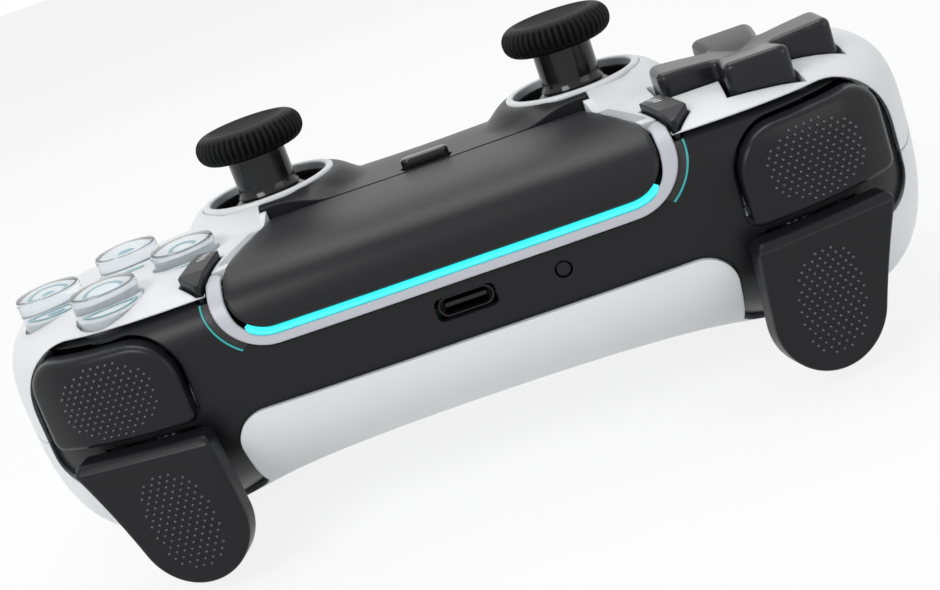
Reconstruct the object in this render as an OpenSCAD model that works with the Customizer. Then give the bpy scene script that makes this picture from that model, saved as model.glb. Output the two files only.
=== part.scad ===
// Gamepad controller, lying face up: +Y is the shoulder side, +X the player's right hand

/* [Body] */
// Width across the grips
body_w = 160; // [156:1:194]
// Height of the face above the table
face_z = 48; // [46:0.5:58]
// Shoulder face in front of the origin
shoulder_y = 49.5; // [48:0.5:52]
// Player's edge behind the origin
waist_y = 13; // [11:0.5:15]
// Length of the rounded grip ends
grip_round = 19.6; // [16:0.1:23]
// Shell wall
wall = 2.2; // [1.8:0.1:2.7]
// Gap along parting lines
part_gap = 0.2; // [0.1:0.05:0.3]
// Half gap round a part that moves in an opening
run_gap = 0.4; // [0.3:0.05:0.5]

/* [Touchpad] */
// Touchpad width at its front edge
pad_front_w = 69; // [64:1:70]
// Touchpad width at its rear edge
pad_rear_w = 55; // [50:1:58]
// Rear edge of the touchpad
pad_rear_y = 18.5; // [18:0.5:20]
// Front lower edge of the touchpad below the face
pad_drop = 9.4; // [8:0.2:11]
// Corner radius of the touchpad
pad_corner = 6; // [4:0.5:8]
// Thickness of the touchpad plate
pad_t = 2; // [1.5:0.1:2.4]
// Height of the lit strip
light_h = 1.1; // [0.8:0.1:1.4]
// Width of the trim round the touchpad
trim_w = 1.7; // [1.4:0.1:2]

/* [Sticks] */
// Stick centre from the middle
stick_x = 28.2; // [27:0.2:30]
// Stick centre in front of the origin
stick_y = 4; // [2:0.5:6]
// Stick cap diameter
cap_d = 19.4; // [17:0.2:21]
// Stick cap height
cap_h = 5.2; // [4:0.2:6]
// Ribs round a stick cap
cap_ribs = 52; // [24:1:60]
// Diameter of the stick stem above its skirt
stem_d = 10.4; // [8:0.2:10.8]
// Diameter of the well in the face
well_d = 21.5; // [21:0.1:22.4]
// Height of the well rim above the face
well_rise = 3; // [2:0.1:3.4]
// Height of the cap's underside above the face
cap_rise = 9.4; // [8.5:0.1:11]
// Depth of the tilt centre below the face
pivot_drop = 8; // [7.5:0.1:8.5]
// Diameter of the cross pin in a stick
pin_d = 1.6; // [1.2:0.1:1.8]

/* [Buttons] */
// Cross pad and button cluster from the body's side
cluster_in = 26; // [25:0.5:27]
// Cluster centre in front of the origin
cluster_y = 24.5; // [23.5:0.5:25]
// Face button diameter
button_d = 11; // [9:0.2:11.4]
// Face button distance from the cluster centre
button_pitch = 11.8; // [11:0.2:12]
// Face button height above the face
button_rise = 3; // [2:0.2:4]
// Face button travel
button_travel = 1.5; // [1:0.1:1.6]
// Cross pad half length
cross_l = 14.4; // [12:0.2:14.6]
// Cross pad arm width at its root
cross_w = 9; // [8:0.2:9.6]
// Cross pad arm width at its end
cross_end_w = 10.8; // [9:0.2:11]
// Cross pad height above the face at its ends
cross_rise = 3.6; // [2.5:0.1:4]
// Rock of the cross pad on each axis
cross_rock = 4; // [2:0.5:4]

/* [Shoulders] */
// Bumper face width
bumper_w = 24.8; // [22:0.2:25.2]
// Bumper face height
bumper_h = 14.5; // [13:0.1:15]
// Bumper proud of the band
bumper_proud = 1.8; // [1:0.1:2.2]
// Trigger face width at its top
trigger_w = 22.8; // [20:0.2:23]
// Trigger tip radius
trigger_tip_r = 9.3; // [7:0.1:9.5]
// Trigger tip above the table
trigger_tip_z = 2.9; // [2.6:0.1:6]
// Trigger plate thickness
trigger_t = 2.2; // [1.6:0.1:2.6]
// Trigger swing
trigger_swing = 16; // [10:1:16]
// Pivot pin diameter in the shoulders
axle_d = 2.4; // [2:0.1:2.6]

/* [Ports] */
// Charging port width
port_w = 8.94; // [8.9:0.02:9.1]
// Charging port height
port_h = 3.26; // [3.2:0.02:3.4]
// Headset jack bore
jack_d = 3.6; // [3.5:0.05:3.7]

/* [Hidden] */
$fn = 32;

// Colours as the photo shows them
white_plastic = "#e4e6ea";
black_plastic = "#38383c";
pale_trim = "#b9bac2";
cyan_light = "#48e8ee";
clear_plastic = "#d5e2e8";
rubber = "#2a2a2d";
metal = "#b4b6ba";
board_green = "#2d5a41";

// Heights that the pieces share, counted from the face down
half_w = body_w / 2;
widen = half_w - 80;
part_z = face_z - 16;
board_t = 1.6;
board_top = face_z - 16.4;
board_z = board_top - board_t;
pivot_z = face_z - pivot_drop;
key_t = 1.6;
key_z = face_z - 14;
key_top = key_z + key_t;
sheet_t = 1;
dome_top = key_top + sheet_t + button_travel + 2.9;
foot_gap = 0.3;
cluster_x = half_w - cluster_in;

// Body sections from the middle to the grip end. Each row holds the player's edge (x, distance behind the
// waist), the outer edge (x, distance behind the shoulder), then pairs for those two edges: parting below
// its level in the middle, face below its level, underside above the table. Then come the powers of the
// upper and lower curves, and how much of any change in width each edge takes up.
stations = [
    [[0, 0], [0, 0], [0, -0.5], [0.8, 0], [11.5, 9], [5, 2.4], [0, 0]],
    [[12, 0], [20, 0], [0, -0.5], [0.6, 0], [11, 8.8], [5, 2.4], [0, 0]],
    [[22, 1.5], [38, 0.7], [0.5, 0], [0.5, 0], [9.5, 7.5], [4.8, 2.4], [0, 1]],
    [[29, 4.5], [53, 2.5], [1, 1], [1, 0], [7, 4.5], [4.6, 2.4], [0.3, 1]],
    [[33.5, 8], [65, 7], [2, 2.5], [2, 0], [4, 1.5], [4.4, 2.4], [0.7, 1]],
    [[37, 12], [74, 16.5], [3.5, 3.4], [3.5, 0], [1.5, -0.2], [4, 2.4], [1, 1]],
    [[40, 16.5], [79, 32.5], [5, 1.9], [5.5, 0.5], [0, -0.3], [3.4, 2.4], [1, 1]],
    [[42.5, 21], [80, 49.5], [7, 3.4], [8, 1.5], [-0.3, -0.3], [3, 2.4], [1, 1]],
    [[44.5, 25], [79, 64], [10, 6.5], [11.5, 4], [-0.3, 0.2], [2.7, 2.3], [1, 1]],
    [[46.5, 29.5], [77, 76.5], [13, 9.5], [15.5, 8], [-0.2, 0.8], [2.5, 2.3], [1, 1]]
];
last_station = len(stations) - 1;
dome_angles = [15, 30, 45, 60, 75];
outer_steps = 15;
inner_steps = 9;
post_facets = 18;
hole_facets = 24;
face_facets = 120;

// Row of the station list in millimetres, mirrored before its start and carried on past its end
function sized(r) = [
    r[0][0] + widen * r[6][0], -waist_y - r[0][1], r[1][0] + widen * r[6][1], shoulder_y - r[1][1],
    part_z - r[2][0], part_z - r[2][1], face_z - r[3][0], face_z - r[3][1],
    r[4][0], r[4][1], r[5][0], r[5][1]
];

function row(i) =
    i < 0 ? let (r = sized(stations[-i])) [for (k = [0:11]) (k == 0 || k == 2) ? -r[k] : r[k]] :
    i > last_station ? 2 * sized(stations[last_station]) - sized(stations[last_station - 1]) :
    sized(stations[i]);

// Smooth curve through four rows
function curve4(a, b, c, d, t) =
    0.5 * (2 * b + (c - a) * t + (2 * a - 5 * b + 4 * c - d) * t * t + (3 * b - a - 3 * c + d) * t * t * t);

function station(u) =
    let (i = min(floor(u), last_station - 1))
    curve4(row(i - 1), row(i), row(i + 1), row(i + 2), u - i);

function power_of(v, p) = sign(v) * pow(abs(v), 2 / p);

// Point of a section at an angle: 0 is the outer edge, 90 the face, 180 the player's edge
function section_point(s, a, inset) =
    let (
        p = sin(a) >= 0 ? s[10] : s[11],
        edge = [s[2] - s[0], s[3] - s[1]],
        cut = inset / norm(edge),
        t = cut + (0.5 + 0.5 * power_of(cos(a), p)) * (1 - 2 * cut),
        base = s[4] + (s[5] - s[4]) * t,
        limit = sin(a) >= 0 ? s[6] + (s[7] - s[6]) * t - inset : s[8] + (s[9] - s[8]) * t + inset,
        rise = pow(abs(sin(a)), 2 / p)
    )
    [s[0] + edge[0] * t, s[1] + edge[1] * t, base + (limit - base) * rise];

function section(u, angles, inset) = let (s = station(u)) [for (a = angles) section_point(s, a, inset)];

// Rounded grip end: each ring shrinks while it carries on the way the last sections run
function middle(u) = let (s = station(u)) [(s[0] + s[2]) / 2, (s[1] + s[3]) / 2, (s[4] + s[5]) / 2];

function grip_way() = (middle(last_station) - middle(last_station - 0.5)) * 2;

function grip_reach(inset) = (grip_round - inset) / norm(grip_way());

function dome_ring(tilt, angles, inset) =
    let (
        m = middle(last_station),
        way = grip_way(),
        near = section(last_station - 0.5, angles, inset),
        edge = section(last_station, angles, inset),
        reach = grip_reach(inset) * sin(tilt)
    )
    [for (k = [0:len(angles) - 1])
        m + (edge[k] - m) * cos(tilt) + reach * (way + ((edge[k] - near[k]) * 2 - way) * cos(tilt))];

function flip(p) = [-p[0], p[1], p[2]];

// Closed body between two angles of every section, drawn in from the outer surface by an inset
module body_loft(inset, from_angle, to_angle, steps, ring_step) {
    closed = to_angle - from_angle >= 360;
    count = closed ? steps : steps + 1;
    angles = [for (k = [0:count - 1]) from_angle + (to_angle - from_angle) * k / steps];
    right = concat(
        [for (u = [ring_step:ring_step:last_station]) section(u, angles, inset)],
        [for (tilt = dome_angles) dome_ring(tilt, angles, inset)]
    );
    n = len(right);
    left = [for (i = [n - 1:-1:0]) [for (p = right[i]) flip(p)]];
    rings = concat(left, [section(0, angles, inset)], right);
    tip = middle(last_station) + grip_way() * grip_reach(inset);
    points = concat([for (r = rings) each r], [flip(tip), tip]);
    total = len(rings);
    left_tip = total * count;
    faces = concat(
        [for (r = [0:total - 2], k = [0:count - 1])
            let (a = r * count + k, b = r * count + (k + 1) % count, c = b + count, d = a + count)
            each [[a, c, b], [a, d, c]]],
        [for (k = [0:count - 1]) [left_tip, k, (k + 1) % count]],
        [for (k = [0:count - 1])
            let (base = (total - 1) * count)
            [left_tip + 1, base + (k + 1) % count, base + k]]
    );
    polyhedron(points = points, faces = faces, convexity = 8);
}

module whole_body(inset) {
    body_loft(inset, 0, 360, 2 * outer_steps, 0.5);
}

module hollow(inset) {
    body_loft(inset, 0, 360, 2 * inner_steps, 1);
}

module upper_body(inset) {
    body_loft(inset, 0, 180, outer_steps, 0.5);
}

module lower_body(inset) {
    translate([0, 0, -part_gap]) body_loft(inset, 180, 360, outer_steps, 0.5);
}

// Outline in the front view (x across, z up) pushed along Y
module along_y(y0, y1) {
    translate([0, y1, 0]) rotate([90, 0, 0]) linear_extrude(y1 - y0) children();
}

module both_sides() {
    children();
    mirror([1, 0, 0]) children();
}

module on_side(side) {
    mirror([side < 0 ? 1 : 0, 0, 0]) children();
}

// Room behind the shoulder line, seen from above, a given depth inside it
function shoulder_line(depth) = [
    for (u = [-6:0.5:6])
        let (s = station(abs(u)))
        [(u < 0 ? -1 : 1) * s[2], s[3] - depth]
];

module shoulder_core(depth, low) {
    translate([0, 0, low]) linear_extrude(high)
        polygon(concat(shoulder_line(depth), [[half_w, -waist_y], [-half_w, -waist_y]]));
}

// Slab that follows the body surface between two stations and two angles
function side_section(u, angles, inset) =
    u < 0 ? [for (p = section(-u, angles, inset)) flip(p)] : section(u, angles, inset);

module skin_patch(u0, u1, a0, a1, outer, inner, nu, na) {
    angles = [for (k = [0:na]) a0 + (a1 - a0) * k / na];
    spots = [for (i = [0:nu]) u0 + (u1 - u0) * i / nu];
    points = concat(
        [for (u = spots) each side_section(u, angles, outer)],
        [for (u = spots) each side_section(u, angles, inner)]
    );
    w = na + 1;
    deep = (nu + 1) * w;
    rim = concat(
        [for (k = [0:na]) k],
        [for (i = [1:nu]) i * w + na],
        [for (k = [na - 1:-1:0]) nu * w + k],
        [for (i = [nu - 1:-1:1]) i * w]
    );
    faces = concat(
        [for (i = [0:nu - 1], k = [0:na - 1])
            let (a = i * w + k, b = a + 1, c = b + w, d = a + w)
            each [[a, c, b], [a, d, c], [deep + a, deep + b, deep + c], [deep + a, deep + c, deep + d]]],
        [for (k = [0:len(rim) - 1])
            let (a = rim[k], b = rim[(k + 1) % len(rim)])
            each [[a, b, deep + b], [a, deep + b, deep + a]]]
    );
    polyhedron(points = points, faces = faces, convexity = 6);
}

// Front view of the white rear panel below the band
band_z = face_z - 21.6;
panel_half = half_w - 39;
panel_r = 6;

module panel_outline() {
    hull() both_sides() translate([panel_half - panel_r, band_z - panel_r]) circle(panel_r);
    translate([-panel_half, -panel_half]) square([2 * panel_half, panel_half + band_z - panel_r]);
}

// Front view of the trigger: a wide top and a round tip
trigger_in = half_w - 36;
trigger_top = face_z - 21.4;
trigger_edge_r = 1.2;
trigger_tip_x = trigger_in + trigger_tip_r - 0.8;
trigger_axle = [shoulder_y - 7.5, face_z - 23.8];
hub_d = 4.6;

module trigger_outline() {
    hull() {
        for (x = [trigger_in + trigger_edge_r, trigger_in + trigger_w - trigger_edge_r])
            translate([x, trigger_top - trigger_edge_r]) circle(trigger_edge_r);
        translate([trigger_tip_x, trigger_tip_z + trigger_tip_r]) circle(trigger_tip_r);
    }
}

// Front view of the black band: a bar across the shoulder and a leg behind each trigger
band_half = half_w - 8;
band_corner = 11;
band_top = face_z - 2.8;
band_rear_y = shoulder_y - 15;
band_deep = 4.4;
leg_r = 7.2;
leg_root_h = 8;

module band_outline() {
    difference() {
        union() {
            hull() both_sides() {
                translate([band_half - band_corner, band_top - 0.7 - band_corner]) circle(band_corner);
                translate([band_half - panel_r, band_z]) circle(panel_r);
                translate([panel_half - panel_r, band_top - panel_r]) circle(panel_r);
            }
            both_sides() hull() {
                translate([panel_half - panel_r, band_z - leg_root_h]) square([trigger_w, leg_root_h]);
                translate([trigger_tip_x, trigger_tip_z + trigger_tip_r]) circle(leg_r);
                translate([panel_half + leg_r / 2, trigger_tip_z + trigger_tip_r]) circle(leg_r / 2);
            }
        }
        panel_outline();
    }
}

// Front view of a bumper
bumper_in = half_w - 35;
bumper_low = face_z - 19.7;
bumper_top_r = [7, 5];
bumper_low_r = 1.5;

module bumper_outline() {
    hull() for (end = [0, 1]) {
        side = end == 0 ? 1 : -1;
        x = bumper_in + end * bumper_w;
        top_r = bumper_top_r[end];
        translate([x + side * top_r, bumper_low + bumper_h - top_r]) circle(top_r);
        translate([x + side * bumper_low_r, bumper_low + bumper_low_r]) circle(bumper_low_r);
    }
}

// Space of the touchpad, grown all round its visible edge
pad_z = face_z - pad_drop;
pad_turn_y = 43;
pad_gap = 0.45;
trim_out = pad_gap + light_h + trim_w;
high = 40;

module pad_space(grow) {
    intersection() {
        translate([0, 0, part_z]) linear_extrude(high) polygon([
            [-pad_rear_w / 2 - grow, pad_rear_y],
            [pad_rear_w / 2 + grow, pad_rear_y],
            [pad_front_w / 2 + grow, pad_turn_y],
            [pad_front_w / 2 + grow, 2 * pad_turn_y],
            [-pad_front_w / 2 - grow, 2 * pad_turn_y],
            [-pad_front_w / 2 - grow, pad_turn_y]
        ]);
        along_y(pad_rear_y, 2 * pad_turn_y) hull() both_sides() {
            translate([pad_front_w / 2 - pad_corner, pad_z + pad_corner]) circle(pad_corner + grow);
            translate([0, pad_z + high]) square([pad_front_w / 2 + grow, 1]);
        }
    }
}

// Small buttons beside the touchpad, along its sloping edge, each with a tail that narrows to the front
side_button_rise = 1.3;
side_button_deep = 4.5;
side_button_travel = 1;
side_button_y = 39.4;
side_button_turn = atan((pad_front_w - pad_rear_w) / 2 / (pad_turn_y - pad_rear_y));
side_button_x = pad_front_w / 2 - (pad_turn_y - side_button_y) * tan(side_button_turn) + trim_out;
side_button_plan = [[0.4, -6.4], [4.4, -7.2], [4.2, 2.4], [0.6, 5.4], [-0.2, 5.4]];

module side_button_space(grow, low) {
    translate([side_button_x, side_button_y, low]) rotate([0, 0, -side_button_turn])
        linear_extrude(high) offset(delta = grow) polygon(side_button_plan);
}

module side_button_openings() {
    low = face_z - side_button_deep - side_button_travel - 4 * run_gap;
    both_sides() side_button_space(run_gap, low);
}

// Centre button on the bezel
home_w = 8.4;
home_l = 3;
home_y = pad_rear_y - 3.2;
home_rise = 1.6;
home_deep = 3.4;

module home_space(grow) {
    r = home_l / 2 + grow;
    translate([0, home_y, face_z - home_deep]) linear_extrude(home_deep + home_rise + 4 * grow) {
        for (side = [-1, 1]) translate([side * (home_w - home_l) / 2, 0]) circle(r);
        translate([-(home_w - home_l) / 2, -r]) square([home_w - home_l, 2 * r]);
    }
}

// Plan of the cross pad: four arms that widen to their ends, with room to rock
cross_gap = 0.3 + (face_z - dome_top) * sin(cross_rock);

function turned(p, a) = [p[0] * cos(a) - p[1] * sin(a), p[0] * sin(a) + p[1] * cos(a)];

function cross_points(grow) = [
    for (a = [0, -90, -180, -270])
        each [
            turned([-cross_w / 2 - grow, cross_w / 2 + grow], a),
            turned([-cross_end_w / 2 - grow, cross_l + grow], a),
            turned([cross_end_w / 2 + grow, cross_l + grow], a)
        ]
];

// Places of the face buttons round their cluster, and the way their tabs point
button_spots = [[0, 1], [1, 0], [0, -1], [-1, 0]];
tab_w = 4;
tab_out = 1.2;
tab_low = 6;
tab_t = 1;

module button_tabs(i, grow) {
    spot = button_spots[i];
    across = button_d + 2 * (tab_out + grow);
    size = [abs(spot[1]) * across + abs(spot[0]) * (tab_w + 2 * grow),
        abs(spot[0]) * across + abs(spot[1]) * (tab_w + 2 * grow), tab_t + 2 * grow];
    translate([-size[0] / 2, -size[1] / 2, face_z - tab_low - grow]) cube(size);
}

module at_button(i) {
    spot = button_spots[i];
    translate([cluster_x + spot[0] * button_pitch, cluster_y + spot[1] * button_pitch, 0]) children();
}

// Screws: place, underside of the head, joint between the two bosses, top of the shank
screw_d = 2.4;
head_d = 4.8;
head_h = 1.6;
screws = [
    [half_w - 18, -33, 5, part_z - 11.2, part_z - 4],
    [half_w - 39, -waist_y - 1, 11, part_z - 3.4, part_z + 3]
];
boss_d = 7;

module front_boss(s) {
    low = s[3] + part_gap;
    translate([s[0], s[1], low])
        cylinder(d1 = boss_d - 1, d2 = boss_d, h = face_z - low, $fn = post_facets);
}

module rear_boss(s) {
    translate([s[0], s[1], -1]) cylinder(d1 = boss_d, d2 = boss_d - 1, h = s[3] + 1, $fn = post_facets);
}

// Posts that carry the key boards and the main board
post_d = 3.6;
key_posts = [[-12.5, -11], [12, -11], [-12.5, 11]];
board_posts = [[33, 34], [33, -4]];
board_post_d = 6;

// Rumble motors in the grips
motor_x = half_w - 19.5;
motor_z = 16.5;
motor_d = 16;
motor_y0 = -27;
motor_y1 = -13;
weight_d = 15;
weight_y0 = -11.5;
weight_y1 = -5.5;
shaft_d = 2;

module motor_axis(y0, y1, d) {
    translate([motor_x, y1, motor_z]) rotate([90, 0, 0]) cylinder(d = d, h = y1 - y0);
}

// Bezel between the sticks, laid on the front shell
bezel_half = stick_x + 0.8;
bezel_t = 1.3;
bezel_proud = 0.3;
ring_w = 1.4;
ring_h = 1.5;
collar_d = 34.6;
collar_deep = 6;
collar_back = -waist_y + 5;
ring_z = face_z + well_rise - ring_h;

module bezel_skin(outer, inner) {
    skin_patch(-2.9, 2.9, 78, 181, outer, inner, 10, 10);
}

module bezel_plan(grow) {
    translate([-bezel_half - grow, -2 * waist_y, part_z + 1 - grow])
        cube([2 * (bezel_half + grow), pad_rear_y - pad_gap + 2 * waist_y + grow, high]);
}

function collar_profile(grow) = concat(
    [[well_d / 2 - 1, -collar_deep], [collar_d / 2 + 1 + grow, -collar_deep]],
    [for (t = [0:0.125:1])
        [collar_d / 2 + grow - t * (collar_d / 2 - well_d / 2 - ring_w - 0.3),
            -1 + (well_rise + 0.4 + grow) * t * t * (3 - 2 * t)]],
    [[well_d / 2 - 1, well_rise - 0.6 + grow]]
);

module collars(grow) {
    both_sides() difference() {
        translate([stick_x, stick_y, face_z]) rotate_extrude() polygon(collar_profile(grow));
        translate([0, collar_back - grow, 0]) cube([half_w, half_w, face_z - 1]);
    }
}

module stick_wells(grow) {
    both_sides() translate([stick_x, stick_y, 0]) {
        translate([0, 0, part_z]) cylinder(d = well_d + grow, h = high);
        translate([0, 0, ring_z]) cylinder(d = well_d + 2 * ring_w + 0.2, h = high);
    }
}

// Shells
module front_shell() {
    color(white_plastic) difference() {
        union() {
            difference() {
                upper_body(0);
                hollow(wall);
            }
            collars(0);
            intersection() {
                hollow(wall / 2);
                both_sides() {
                    for (s = screws) front_boss(s);
                    for (p = key_posts) translate([cluster_x + p[0], cluster_y + p[1], key_top])
                        cylinder(d1 = post_d - 0.6, d2 = post_d, h = face_z - key_top, $fn = post_facets);
                }
            }
        }
        along_y(band_rear_y - part_gap, 2 * pad_turn_y) offset(delta = part_gap) band_outline();
        pad_space(trim_out + part_gap);
        intersection() {
            union() {
                bezel_skin(-2 * well_rise, bezel_t + part_gap / 2);
                collars(1);
            }
            bezel_plan(part_gap);
        }
        side_button_openings();
        home_space(run_gap);
        stick_wells(1);
        for (s = screws) both_sides() translate([s[0], s[1], s[3] - 1])
            cylinder(d = screw_d, h = s[4] - s[3] + 2, $fn = post_facets);
        translate([-cluster_x, cluster_y, face_z - tab_low - 1])
            linear_extrude(high) polygon(cross_points(cross_gap));
        for (i = [0:3]) at_button(i) {
            translate([0, 0, face_z - tab_low - 1])
                cylinder(d = button_d + 2 * run_gap, h = high, $fn = hole_facets);
            button_tabs(i, run_gap);
        }
    }
}

module rear_shell() {
    color(white_plastic) difference() {
        union() {
            difference() {
                lower_body(0);
                hollow(wall);
            }
            intersection() {
                hollow(wall / 2);
                both_sides() {
                    for (s = screws) rear_boss(s);
                    for (p = board_posts) translate([p[0], p[1], 0])
                        cylinder(d1 = board_post_d + 1, d2 = board_post_d - 1, h = board_z,
                            $fn = post_facets);
                    translate([motor_x - motor_d / 3, motor_y0 + 2, 0])
                        cube([motor_d / 1.5, motor_y1 - motor_y0 - 4, motor_z - motor_d / 4]);
                }
            }
        }
        along_y(pad_turn_y / 2, 2 * pad_turn_y) offset(delta = part_gap) band_outline();
        for (s = screws) both_sides() {
            translate([s[0], s[1], -1]) cylinder(d = screw_d + 0.4, h = high, $fn = post_facets);
            translate([s[0], s[1], -1])
                cylinder(d = head_d + 0.6, h = s[2] + 1 + head_h, $fn = hole_facets);
        }
        both_sides() motor_axis(motor_y0 - 1, motor_y1 + 1, motor_d + 0.4);
        translate([0, 0, board_z - jack_h / 2]) rotate([90, 0, 0])
            cylinder(d = jack_nose_d + 0.5, h = 2 * waist_y);
        translate([-half_w, -half_w, -high]) cube([2 * half_w, 2 * half_w, high]);
    }
}

// Band across the shoulder with the port, the reset hole and the windows of the shoulder buttons
band_in = 0.8;
band_t = 1.8;
port_hole_w = 9.8;
port_hole_h = 3.8;
port_hole_r = 1.1;
reset_x = -15.6;
reset_d = 2.2;
reset_gap = 0.3;
lever_slot_top = band_z + 0.4;
lever_slot_low = trigger_axle[1] - 7.5 * sin(trigger_swing) - hub_d / 2;
lever_slot = [trigger_in + 0.6, lever_slot_low, 17.2, lever_slot_top - lever_slot_low];

module port_hole() {
    hull() both_sides() for (side = [-1, 1])
        translate([port_hole_w / 2 - port_hole_r, part_z + side * (port_hole_h / 2 - port_hole_r)])
            circle(port_hole_r);
}

module shoulder_band() {
    color(black_plastic) difference() {
        intersection() {
            difference() {
                whole_body(band_in);
                body_loft(band_in + band_t, 0, 360, 2 * inner_steps, 0.5);
            }
            along_y(pad_turn_y / 2 + 1, 2 * pad_turn_y) band_outline();
        }
        pad_space(trim_out + part_gap);
        along_y(pad_turn_y, 2 * pad_turn_y) port_hole();
        along_y(pad_turn_y, 2 * pad_turn_y)
            translate([reset_x, part_z]) circle(d = reset_d + 2 * reset_gap);
        both_sides() along_y(0, 2 * pad_turn_y) offset(delta = run_gap + 0.2) bumper_outline();
        both_sides() along_y(0, 2 * pad_turn_y)
            translate([lever_slot[0], lever_slot[1]]) square([lever_slot[2], lever_slot[3]]);
        side_button_openings();
        shoulder_core(band_deep, band_z + 1);
        translate([-half_w, 0, band_z + 1]) cube([2 * half_w, band_rear_y, high]);
    }
}

module center_bezel() {
    color(black_plastic) difference() {
        intersection() {
            union() {
                bezel_skin(-bezel_proud, bezel_t);
                difference() {
                    collars(0);
                    translate([-half_w, collar_back - 1, 0])
                        cube([2 * half_w, half_w, face_z - bezel_t / 2]);
                }
            }
            bezel_plan(0);
        }
        stick_wells(0.4);
        home_space(run_gap);
    }
}

module stick_rings() {
    inner = well_d / 2;
    outer = inner + ring_w;
    color(white_plastic) both_sides() translate([stick_x, stick_y, ring_z + 0.05])
        rotate_extrude() polygon([
            [inner, 0],
            [outer, 0],
            [outer, ring_h - 0.5],
            [outer - 0.5, ring_h],
            [inner + 0.4, ring_h],
            [inner, ring_h - 0.4]
        ]);
}

// Touchpad and what frames it
pad_proud = 0.5;

module touchpad() {
    color(black_plastic) intersection() {
        skin_patch(-2.9, 2.9, 2, 100, -pad_proud, pad_t - pad_proud, 12, 12);
        pad_space(0);
    }
}

module touchpad_trim() {
    color(pale_trim) difference() {
        intersection() {
            skin_patch(-3, 3, 1, 100, -0.1, wall, 12, 12);
            pad_space(trim_out);
        }
        pad_space(pad_gap);
        intersection() {
            pad_space(pad_gap + light_h);
            translate([-half_w, 0, 0]) cube([2 * half_w, 2 * half_w, pad_z + pad_corner / 2]);
        }
        side_button_openings();
    }
}

module light_strip() {
    color(cyan_light) difference() {
        intersection() {
            skin_patch(-2.2, 2.2, 1, 40, 0.05, wall - 0.4, 10, 4);
            pad_space(pad_gap + light_h - 0.08);
            translate([-half_w, 0, 0]) cube([2 * half_w, 2 * half_w, pad_z + pad_corner / 2 - 0.1]);
        }
        pad_space(pad_gap);
    }
}

// Small buttons
module side_button(side) {
    color(black_plastic) on_side(side) intersection() {
        skin_patch(1, 3.4, 4, 100, -side_button_rise, 2 * side_button_rise, 6, 8);
        side_button_space(0, face_z - side_button_deep);
    }
}

module home_button() {
    color(black_plastic) home_space(0);
}

module reset_button() {
    color(black_plastic) translate([reset_x, shoulder_y - band_in - 0.2, part_z]) rotate([90, 0, 0])
        cylinder(d = reset_d, h = 4);
}

// Cross pad on its pivot ball
ball_d = 4.4;
ball_z = dome_top + 0.2;
ball_fit = 0.05;
cross_dish_r = 76;
cross_foot = 10.4;
cross_edge = 1.1;
foot_d = 6;
cross_skirt_d = 19;

module cross_arm(top) {
    for (edge = [0, cross_edge]) linear_extrude(top - cross_edge + edge) polygon([
        [cross_w / 2 - edge, cross_w / 2 - cross_edge],
        [cross_end_w / 2 - edge, cross_l - edge],
        [-cross_end_w / 2 + edge, cross_l - edge],
        [-cross_w / 2 + edge, cross_w / 2 - cross_edge]
    ]);
}

module cross_middle(top) {
    for (edge = [0, cross_edge]) translate([-cross_w / 2 + edge, -cross_w / 2 + edge, 0])
        cube([cross_w - 2 * edge, cross_w - 2 * edge, top - cross_edge + edge]);
}

module dpad() {
    color(black_plastic) translate([-cluster_x, cluster_y, 0]) difference() {
        union() {
            translate([0, 0, face_z - tab_low]) {
                hull() cross_middle(tab_low + cross_rise);
                for (a = [0:90:270]) rotate([0, 0, a]) hull() cross_arm(tab_low + cross_rise);
            }
            translate([0, 0, face_z - tab_low]) cylinder(d = cross_skirt_d, h = tab_t);
            translate([0, 0, ball_z + 0.6]) cylinder(d = ball_d + 3.6, h = face_z - tab_low - ball_z);
            for (a = [0:90:270]) rotate([0, 0, a]) translate([cross_foot, 0, dome_top + foot_gap])
                cylinder(d = foot_d, h = face_z - tab_low - dome_top);
        }
        translate([0, 0, face_z + cross_rise - 1.4 + cross_dish_r]) sphere(cross_dish_r);
        translate([0, 0, ball_z]) sphere(d = ball_d + 2 * ball_fit);
    }
}

module dpad_pivot_ball() {
    color(metal) translate([-cluster_x, cluster_y, ball_z]) sphere(d = ball_d);
}

// Face buttons
crown_r = 22;

module face_button(i) {
    color(clear_plastic) at_button(i) {
        intersection() {
            translate([0, 0, face_z - tab_low]) cylinder(d = button_d, h = tab_low + button_rise);
            translate([0, 0, face_z + button_rise - crown_r]) sphere(crown_r);
        }
        button_tabs(i, 0);
        translate([0, 0, dome_top + foot_gap]) cylinder(d = foot_d, h = face_z - tab_low - dome_top);
    }
}

// Key boards and rubber membranes
key_plan = [[-14.5, -13], [13, -13], [14.5, -11], [14.5, 6], [8, 13], [-14.5, 13]];

module key_boards() {
    color(board_green) difference() {
        both_sides() translate([cluster_x, cluster_y, key_z]) linear_extrude(key_t) polygon(key_plan);
        translate([-cluster_x, cluster_y, key_z - 1]) cylinder(d = ball_d - 2, h = key_t + 2);
    }
    color(board_green) translate([-cluster_x, cluster_y, key_z]) difference() {
        cylinder(d = ball_d + 1.2, h = ball_z - key_z - 0.8);
        translate([0, 0, ball_z - key_z]) sphere(d = ball_d + 2 * ball_fit);
    }
}

module membrane(spots, dome_d) {
    difference() {
        union() {
            translate([0, 0, key_top]) linear_extrude(sheet_t) polygon(0.94 * key_plan);
            for (p = spots) translate([p[0], p[1], key_top])
                cylinder(d1 = dome_d + 1.6, d2 = dome_d, h = dome_top - key_top);
        }
        for (p = key_posts) translate([p[0], p[1], key_top - 1]) cylinder(d = post_d + 1, h = high);
        for (p = spots) translate([p[0], p[1], key_top - 1])
            cylinder(d = dome_d - 2, h = dome_top - key_top);
        translate([0, 0, key_top - 1]) cylinder(d = ball_d + 2, h = high);
    }
}

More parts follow.
